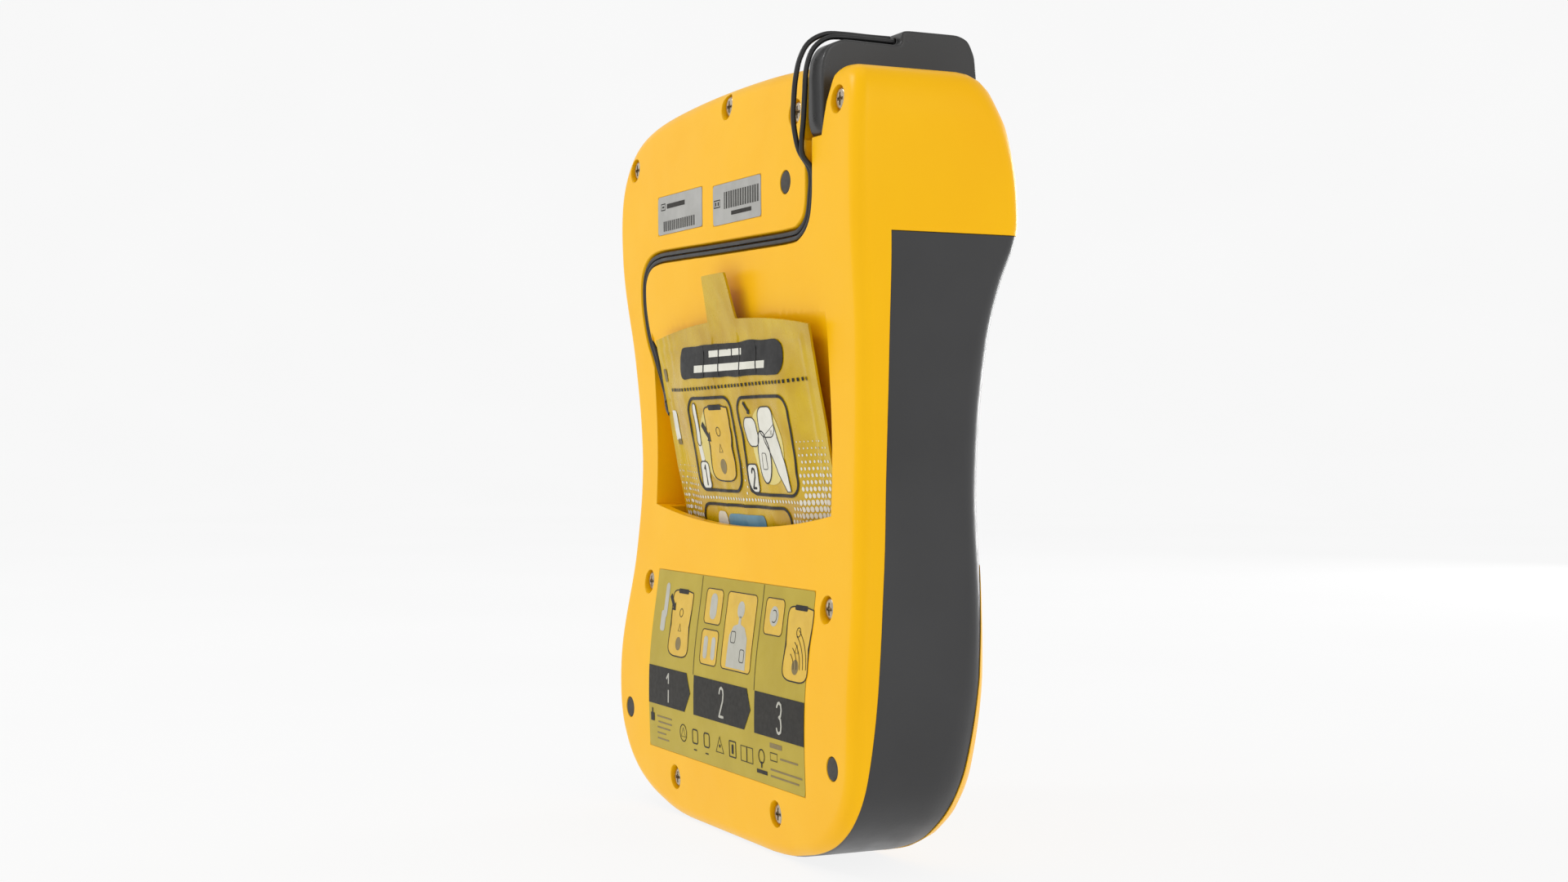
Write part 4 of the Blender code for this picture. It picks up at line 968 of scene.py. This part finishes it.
def printed(name, shapes, place, ink, body, lift, grid=None):
    """Ink shapes laid on a surface: place turns (across, up, lift) into a point on it."""
    shape = bmesh.new()
    for outline in shapes:
        shape.faces.new([shape.verts.new((float(x), 0, float(z))) for x, z in outline])
    if grid:
        corners = np.array([v.co for v in shape.verts])
        for axis in (0, 2):
            normal = (1, 0, 0) if axis == 0 else (0, 0, 1)
            for value in np.arange(corners[:, axis].min() + grid / 2, corners[:, axis].max(), grid):
                everything = list(shape.verts) + list(shape.edges) + list(shape.faces)
                bmesh.ops.bisect_plane(shape, geom=everything, plane_co=tuple(value * v for v in normal),
                                       plane_no=normal)
    for vertex in shape.verts:
        vertex.co = Vector(place(vertex.co.x, vertex.co.z, lift)) * MM
    shape.normal_update()
    for face in shape.faces:
        if face.normal.y < 0:
            face.normal_flip()
    mesh = bpy.data.meshes.new(name)
    shape.to_mesh(mesh)
    shape.free()
    item = bpy.data.objects.new(name, mesh)
    bpy.context.scene.collection.objects.link(item)
    thick = item.modifiers.new("thickness", "SOLIDIFY")
    thick.thickness = 0.03 * MM
    thick.offset = -1
    apply_modifiers(item)
    item.data.shade_smooth()
    item.data.set_sharp_from_angle(angle=math.radians(40))
    return place_piece(item, body, ink)


def on_back(across, up, lift):
    return across, float(rear_depth(up)) + LABEL_LIFT + lift, up


def make_labels():
    """Three films with generic art: steps 1 to 3 on the large one, bars and blocks on the small ones."""
    for name, (left, right, low, high) in LABELS.items():
        film = FILM if name == "instruction_label" else DATA_FILM
        outline = rounded(left, right, low, high, 1.2)
        piece = printed("visible_" + name, [outline], on_back, film, "case", 0, PRINT_GRID)
        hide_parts(name)
    dark, grey, yellow, shade, numbers = [], [], [], [], []
    for across in (22.6, -25.6):
        dark.append(rect(across - 0.12, across + 0.12, 49.8, 82.5))
    dark += [
        [(61.2, 49.8), (28.2, 49.8), (24.8, 43.3), (29.6, 36.7), (61.2, 36.7)],
        [(21.9, 49.8), (-20.3, 49.8), (-23.4, 43.3), (-18.6, 36.7), (21.9, 36.7)],
        rect(-61.2, -26.2, 36.7, 49.8)]
    for number, across in ((1, 44), (2, -0.8), (3, -44.2)):
        numbers += digit(number, across, 38.6, 47.9, 0.85)
    for across, low, high in ((37.2, 54.3, 77), (-53.3, 55, 77.8)):
        body, lines, speaker = device_shapes(across, low, high)
        yellow += body
        shade += speaker
        dark += lines
    grey += [rounded(49.6, 52.8, 66.5, 78.5, 1.5), rounded(50.4, 54.4, 62, 69, 1.2)]
    dark += arrow((47.8, 74.5), (42.6, 69.6), 1.7)
    frames = [(4.4, 18.2, 67.3, 79), (4.4, 18.2, 54, 65.7), (-21.9, 1, 54.1, 79), (-41.8, -28.2, 67.5, 79)]
    for left, right, low, high in frames:
        yellow.append(rounded(left, right, low, high, 2))
        dark += loop(rounded(left, right, low, high, 2), 0.3)
    grey += [rounded(8.6, 14, 69, 77.4, 2.4), rounded(6.4, 9.6, 56, 63.4, 1.4),
                      rounded(12.6, 15.8, 56, 63.4, 1.4), circle(-10.4, 73.6, 2.7, 28),
                      [(-17.8, 55), (-17.2, 65), (-14.6, 68.2), (-11.4, 69), (-11.2, 71.6), (-9.6, 71.6),
                       (-9.4, 69), (-6.2, 68.2), (-3.6, 65), (-3, 55)], circle(-35, 73.4, 3.1, 24)]
    dark += loop(rounded(-8.6, -4.9, 62.8, 66.6, 0.9), 0.25)
    dark += loop(rounded(-16.4, -12.9, 57.2, 61.4, 0.9), 0.25)
    dark += arc(-35, 73.4, 1.9, 60, 300, 0.3)
    for radius in (5, 7, 9, 11, 13):
        dark += arc(-47, 58.5, radius * 1.05, 118, 176, 0.25)
    dark += arc(31, 29.5, 2.8, 0, 360, 0.3, 30)
    dark += loop([(33, 28.2), (29, 28.2), (31, 31.4)], 0.25)
    for across in (21, 11.4):
        dark += loop(rounded(across - 2.4, across + 2.4, 27, 32, 1.2), 0.45)
        dark.append(rect(across - 1.2, across + 1.2, 24.9, 25.3))
    dark += loop([(4, 26.8), (-2.4, 26.8), (0.8, 32.2)], 0.4)
    dark.append(circle(0.8, 29, 0.55, 12))
    dark += loop(rounded(-12, -6.6, 26.6, 32, 0.5), 0.4)
    dark.append(rounded(-10, -8.6, 27.8, 30.8, 0.3))
    dark += loop(rect(-20.2, -15.6, 26.6, 31.6), 0.35) + loop(rect(-24.8, -20.2, 26.6, 31.6), 0.35)
    dark += arc(-31.2, 30, 2.1, 0, 360, 0.4, 24)
    dark += [rect(-31.6, -30.8, 26.4, 28.4), rect(-35.2, -27.6, 24.6, 25.8)]
    for row, (start, end) in enumerate(((41, 54), (41, 53), (42.6, 54), (46.4, 54), (44, 54))):
        low = 32.4 - row * 1.9
        shade.append(rect(start, end, low, low + 0.55))
    dark += [rect(56.4, 59.6, 30.6, 33.4), rect(57.6, 58.6, 33.4, 35)]
    dark += loop(rect(-42.6, -37.6, 29.6, 32.2), 0.3)
    for row, (start, end) in enumerate(((-46, -37.4), (-57, -44.6), (-59.6, -37.6), (-57.4, -37.6))):
        low = (33.6, 30.6, 26.6, 24.6)[row]
        shade.append(rect(start, end, low, low + (1.5 if row == 0 else 0.6)))
    printed("label_print_yellow", yellow, on_back, YELLOW_INK, "case", PRINT_LIFT, PRINT_GRID)
    printed("label_print_shade", shade, on_back, SHADE_INK, "case", PRINT_LIFT * 2, PRINT_GRID)
    printed("label_print_grey", grey, on_back, GREY_INK, "case", PRINT_LIFT * 2, PRINT_GRID)
    printed("label_print_dark", dark, on_back, INK, "case", PRINT_LIFT * 3, PRINT_GRID)
    printed("label_print_numbers", numbers, on_back, GREY_INK, "case", PRINT_LIFT * 4)
    bars = bar_code(22.7, 50, 199, 202.4) + loop(rect(48, 51.8, 206.2, 208.6), 0.4)
    bars += [rect(31, 46.6, 206.6, 208.2), rect(49, 50.8, 207.1, 207.7)]
    bars += bar_code(-28, -1.4, 201.8, 207.2) + loop(rect(1.6, 6.6, 202.6, 205.2), 0.4)
    bars += [rect(-22.4, -7, 199.4, 200.7), rect(2.6, 3.6, 203.3, 204.5), rect(4.6, 5.6, 203.3, 204.5)]
    printed("data_label_print", bars, on_back, INK, "case", PRINT_LIFT)


def on_pouch(across, along, lift):
    return pouch_point(across, along, 1, lift)


def wavy(outline, depth):
    """The outline with the unsteadiness of print on crinkled foil."""
    return [(x + depth * noise.noise(Vector((x / 5, z / 5, 0.5))),
             z + depth * 2 * noise.noise(Vector((x / 9, z / 9, 4.5)))) for x, z in outline]


def fine_rounded(left, right, low, high, radius):
    """A rounded rectangle with points all along its straight sides."""
    coarse = rounded(left, right, low, high, radius, 8)
    found = []
    for (x0, z0), (x1, z1) in zip(coarse, coarse[1:] + coarse[:1]):
        steps = max(1, int(math.hypot(x1 - x0, z1 - z0) / 2))
        found += [(x0 + (x1 - x0) * k / steps, z0 + (z1 - z0) * k / steps) for k in range(steps)]
    return found


def leaned(shapes):
    """Shapes sheared the way the pouch leans."""
    return [[(x - POUCH_LEAN * (z - 60), z) for x, z in outline] for outline in shapes]


POUCH_PRINT_GRID = 1.6
POUCH_FRAMES = [(-1.6, 34, 41.4, 73.6), (-42.6, -5.6, 40.8, 73.2), (-34, 34.6, 4, 37.6)]
DOT_SPACING = 2.1
DOT_LARGEST = 0.95
DOT_GROWTH = 0.034
DOT_SMALLEST = 0.2


def halftone_dots():
    """Dots round the frames that shrink up the pouch, and reach higher along its right-hand edge."""
    dots = []
    for row in range(34):
        along = 1.5 + row * DOT_SPACING
        middle = POUCH_ACROSS - POUCH_LEAN * along
        for k in range(60):
            across = 57.5 - k * DOT_SPACING - (row % 2) * DOT_SPACING / 2
            beside = across < -39.6 - 0.06 * (60 - along)
            size = min(DOT_LARGEST, ((66 if beside else 56) - along) * DOT_GROWTH)
            upright = across + POUCH_LEAN * (along - 60)
            framed = any(left - 1.2 < upright < right + 1.2 and low - 1.2 < along < high + 1.2
                         for left, right, low, high in POUCH_FRAMES)
            if size > DOT_SMALLEST and not framed and abs(across - middle) < POUCH_HALF_WIDTH - 1.5:
                dots.append([tuple(point) for point in circle(across, along, size, 8)])
    return dots


def make_pouch_print():
    """Title block, perforation, framed steps and halftone dots, all generic."""
    black = [wavy(fine_rounded(-43.2, 36.6, 79.6, 90.3, 4.8), 0.25)]
    bars = [rect(-13, 12, 86.2, 88.4), rect(-30, 24, 81.6, 83.9)]
    cuts = [rect(x, x + 0.8, 80, 90) for x in (-24, -12, 4, 16)]
    cuts += [rect(x, x + 0.7, 85.6, 89) for x in (-6, 4)]
    for k in range(42):
        across = 49 - 2.55 * k
        black.append(rect(across - 0.85, across + 0.25, 75.5 + 0.03 * k, 76.6 + 0.03 * k))
    glow, white, blue, fresh = [], [], [], []
    for left, right, low, high in POUCH_FRAMES:
        outline = fine_rounded(left, right, low, high, 5.5)
        black += loop(outline, 1.0)
        middle, up = (left + right) / 2, (low + high) / 2
        glow.append([(middle + 11.5 * x, up + 12.5 * z) for x, z in circle(0, 0, 1, 40)])
    body, lines, speaker = device_shapes(11.6, 45, 70.5)
    fresh += body
    black += lines
    white += [rounded(27.2, 30.2, 56.8, 71.6, 1.5), [(27.6, 59), (30.4, 60.5), (29.6, 50.6), (26.4, 52.4)]]
    black += loop(rounded(27.2, 30.2, 56.8, 71.6, 1.5), 0.3)
    black += arrow((24.6, 64.4), (18.4, 58.4), 2.0)
    for left, right in ((22.6, 31.8), (-15.2, -5.6)):
        low = 42.2 if left > 0 else 41.6
        white.append(rounded(left + 1.2, right - 0.6, low, low + 9.6, 2))
        black += loop(rounded(left + 1.2, right - 0.6, low, low + 9.6, 2), 0.4)
    black += digit(1, 27.4, 43.8, 50.2, 0.8) + digit(2, -10.2, 43.2, 49.6, 0.8)
    hands = [fine_rounded(-18.4, -8.8, 56.6, 66.4, 3.4), fine_rounded(-31, -20, 59.6, 69.6, 3.6),
             [(-31, 64), (-22, 60), (-29, 48), (-34.6, 42.4), (-37.4, 42.6), (-36.8, 47)]]
    for outline in hands:
        white.append(outline)
        black += loop(outline, 0.35)
    pad = [(-20.8 + 4.6 * x, 53.4 + 8.6 * z) for x, z in circle(0, 0, 1, 40)]
    white.append(pad)
    black += loop(pad, 0.45) + loop(fine_rounded(-22.6, -19, 49.4, 54.8, 0.8), 0.2)
    black += arrow((-11.6, 71.2), (-14.8, 67.2), 1.1)
    blue.append(fine_rounded(-14, 14, 29, 34.2, 2.4))
    white.append(fine_rounded(15, 24, 26, 34.8, 3))
    edge = [fine_rounded(47.6, 51.8, 58.6, 69, 1.8)]
    marks = [fine_rounded(50.2, 52.8, 79, 83.4, 0.8), fine_rounded(47.8, 50.4, 57, 59, 0.6)]
    layer, grid = PRINT_LIFT * 1.5, POUCH_PRINT_GRID
    printed("pouch_print_glow", leaned(glow), on_pouch, GLOW_INK, "pouch", layer * 2, grid)
    printed("pouch_print_dots", halftone_dots(), on_pouch, WHITE_INK, "pouch", layer * 2)
    printed("pouch_print_fresh", leaned(fresh), on_pouch, YELLOW_INK, "pouch", layer * 3, grid)
    printed("pouch_print_white", leaned(white) + edge, on_pouch, WHITE_INK, "pouch", layer * 3.4, grid)
    printed("pouch_print_blue", leaned(blue), on_pouch, BLUE_INK, "pouch", layer * 3.6, grid)
    printed("pouch_print_shade", leaned(speaker) + marks, on_pouch, SHADE_INK, "pouch", layer * 4, grid)
    printed("pouch_print_black", leaned(black), on_pouch, BLACK_INK, "pouch", layer * 4.6, grid)
    printed("pouch_print_title", leaned(bars), on_pouch, WHITE_INK, "pouch", layer * 5.4, grid)
    printed("pouch_print_title_gaps", leaned(cuts), on_pouch, BLACK_INK, "pouch", layer * 6.2, grid)


CARRIED = {
    "front_cover": YELLOW, "case_seal": BLACK, "display_bezel": BLACK, "display_window": GLASS,
    "display_module": STEEL, "on_off_button": GREEN_KEY, "shock_button": ORANGE_KEY, "softkey_up": PLUG,
    "softkey_enter": PLUG, "softkey_down": PLUG, "softkey_board": BOARD, "status_light": LENS,
    "microphone": BLACK, "speaker_grille": PLUG, "speaker": STEEL, "battery_cap": PLUG,
    "battery_pack": BLACK, "battery_latch": RED_LATCH, "battery_bay": BLACK, "battery_connector": STEEL,
    "plug_pin_front": STEEL, "plug_pin_rear": STEEL, "pads_socket": BLACK, "main_board": BOARD,
    "relay_module": BLACK, "processor_shield": STEEL, "high_voltage_inductor": COPPER,
    "backup_cell": STEEL, "buzzer": BLACK, "energy_capacitor": PLUG, "charging_transformer": COPPER,
}


def finish_cad_nodes():
    """Gives each CAD node that stays its own detailed material."""
    for name, material in CARRIED.items():
        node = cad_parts[name]
        for place in node.material_slots:
            place.material = material


LEAD_LENGTHS = make_leads()
make_back_shell()
make_side_grip()
make_plug()
make_screws()
make_feet()
make_pouch()
make_labels()
make_pouch_print()
finish_cad_nodes()
print("lead strands, mm:", LEAD_LENGTHS)
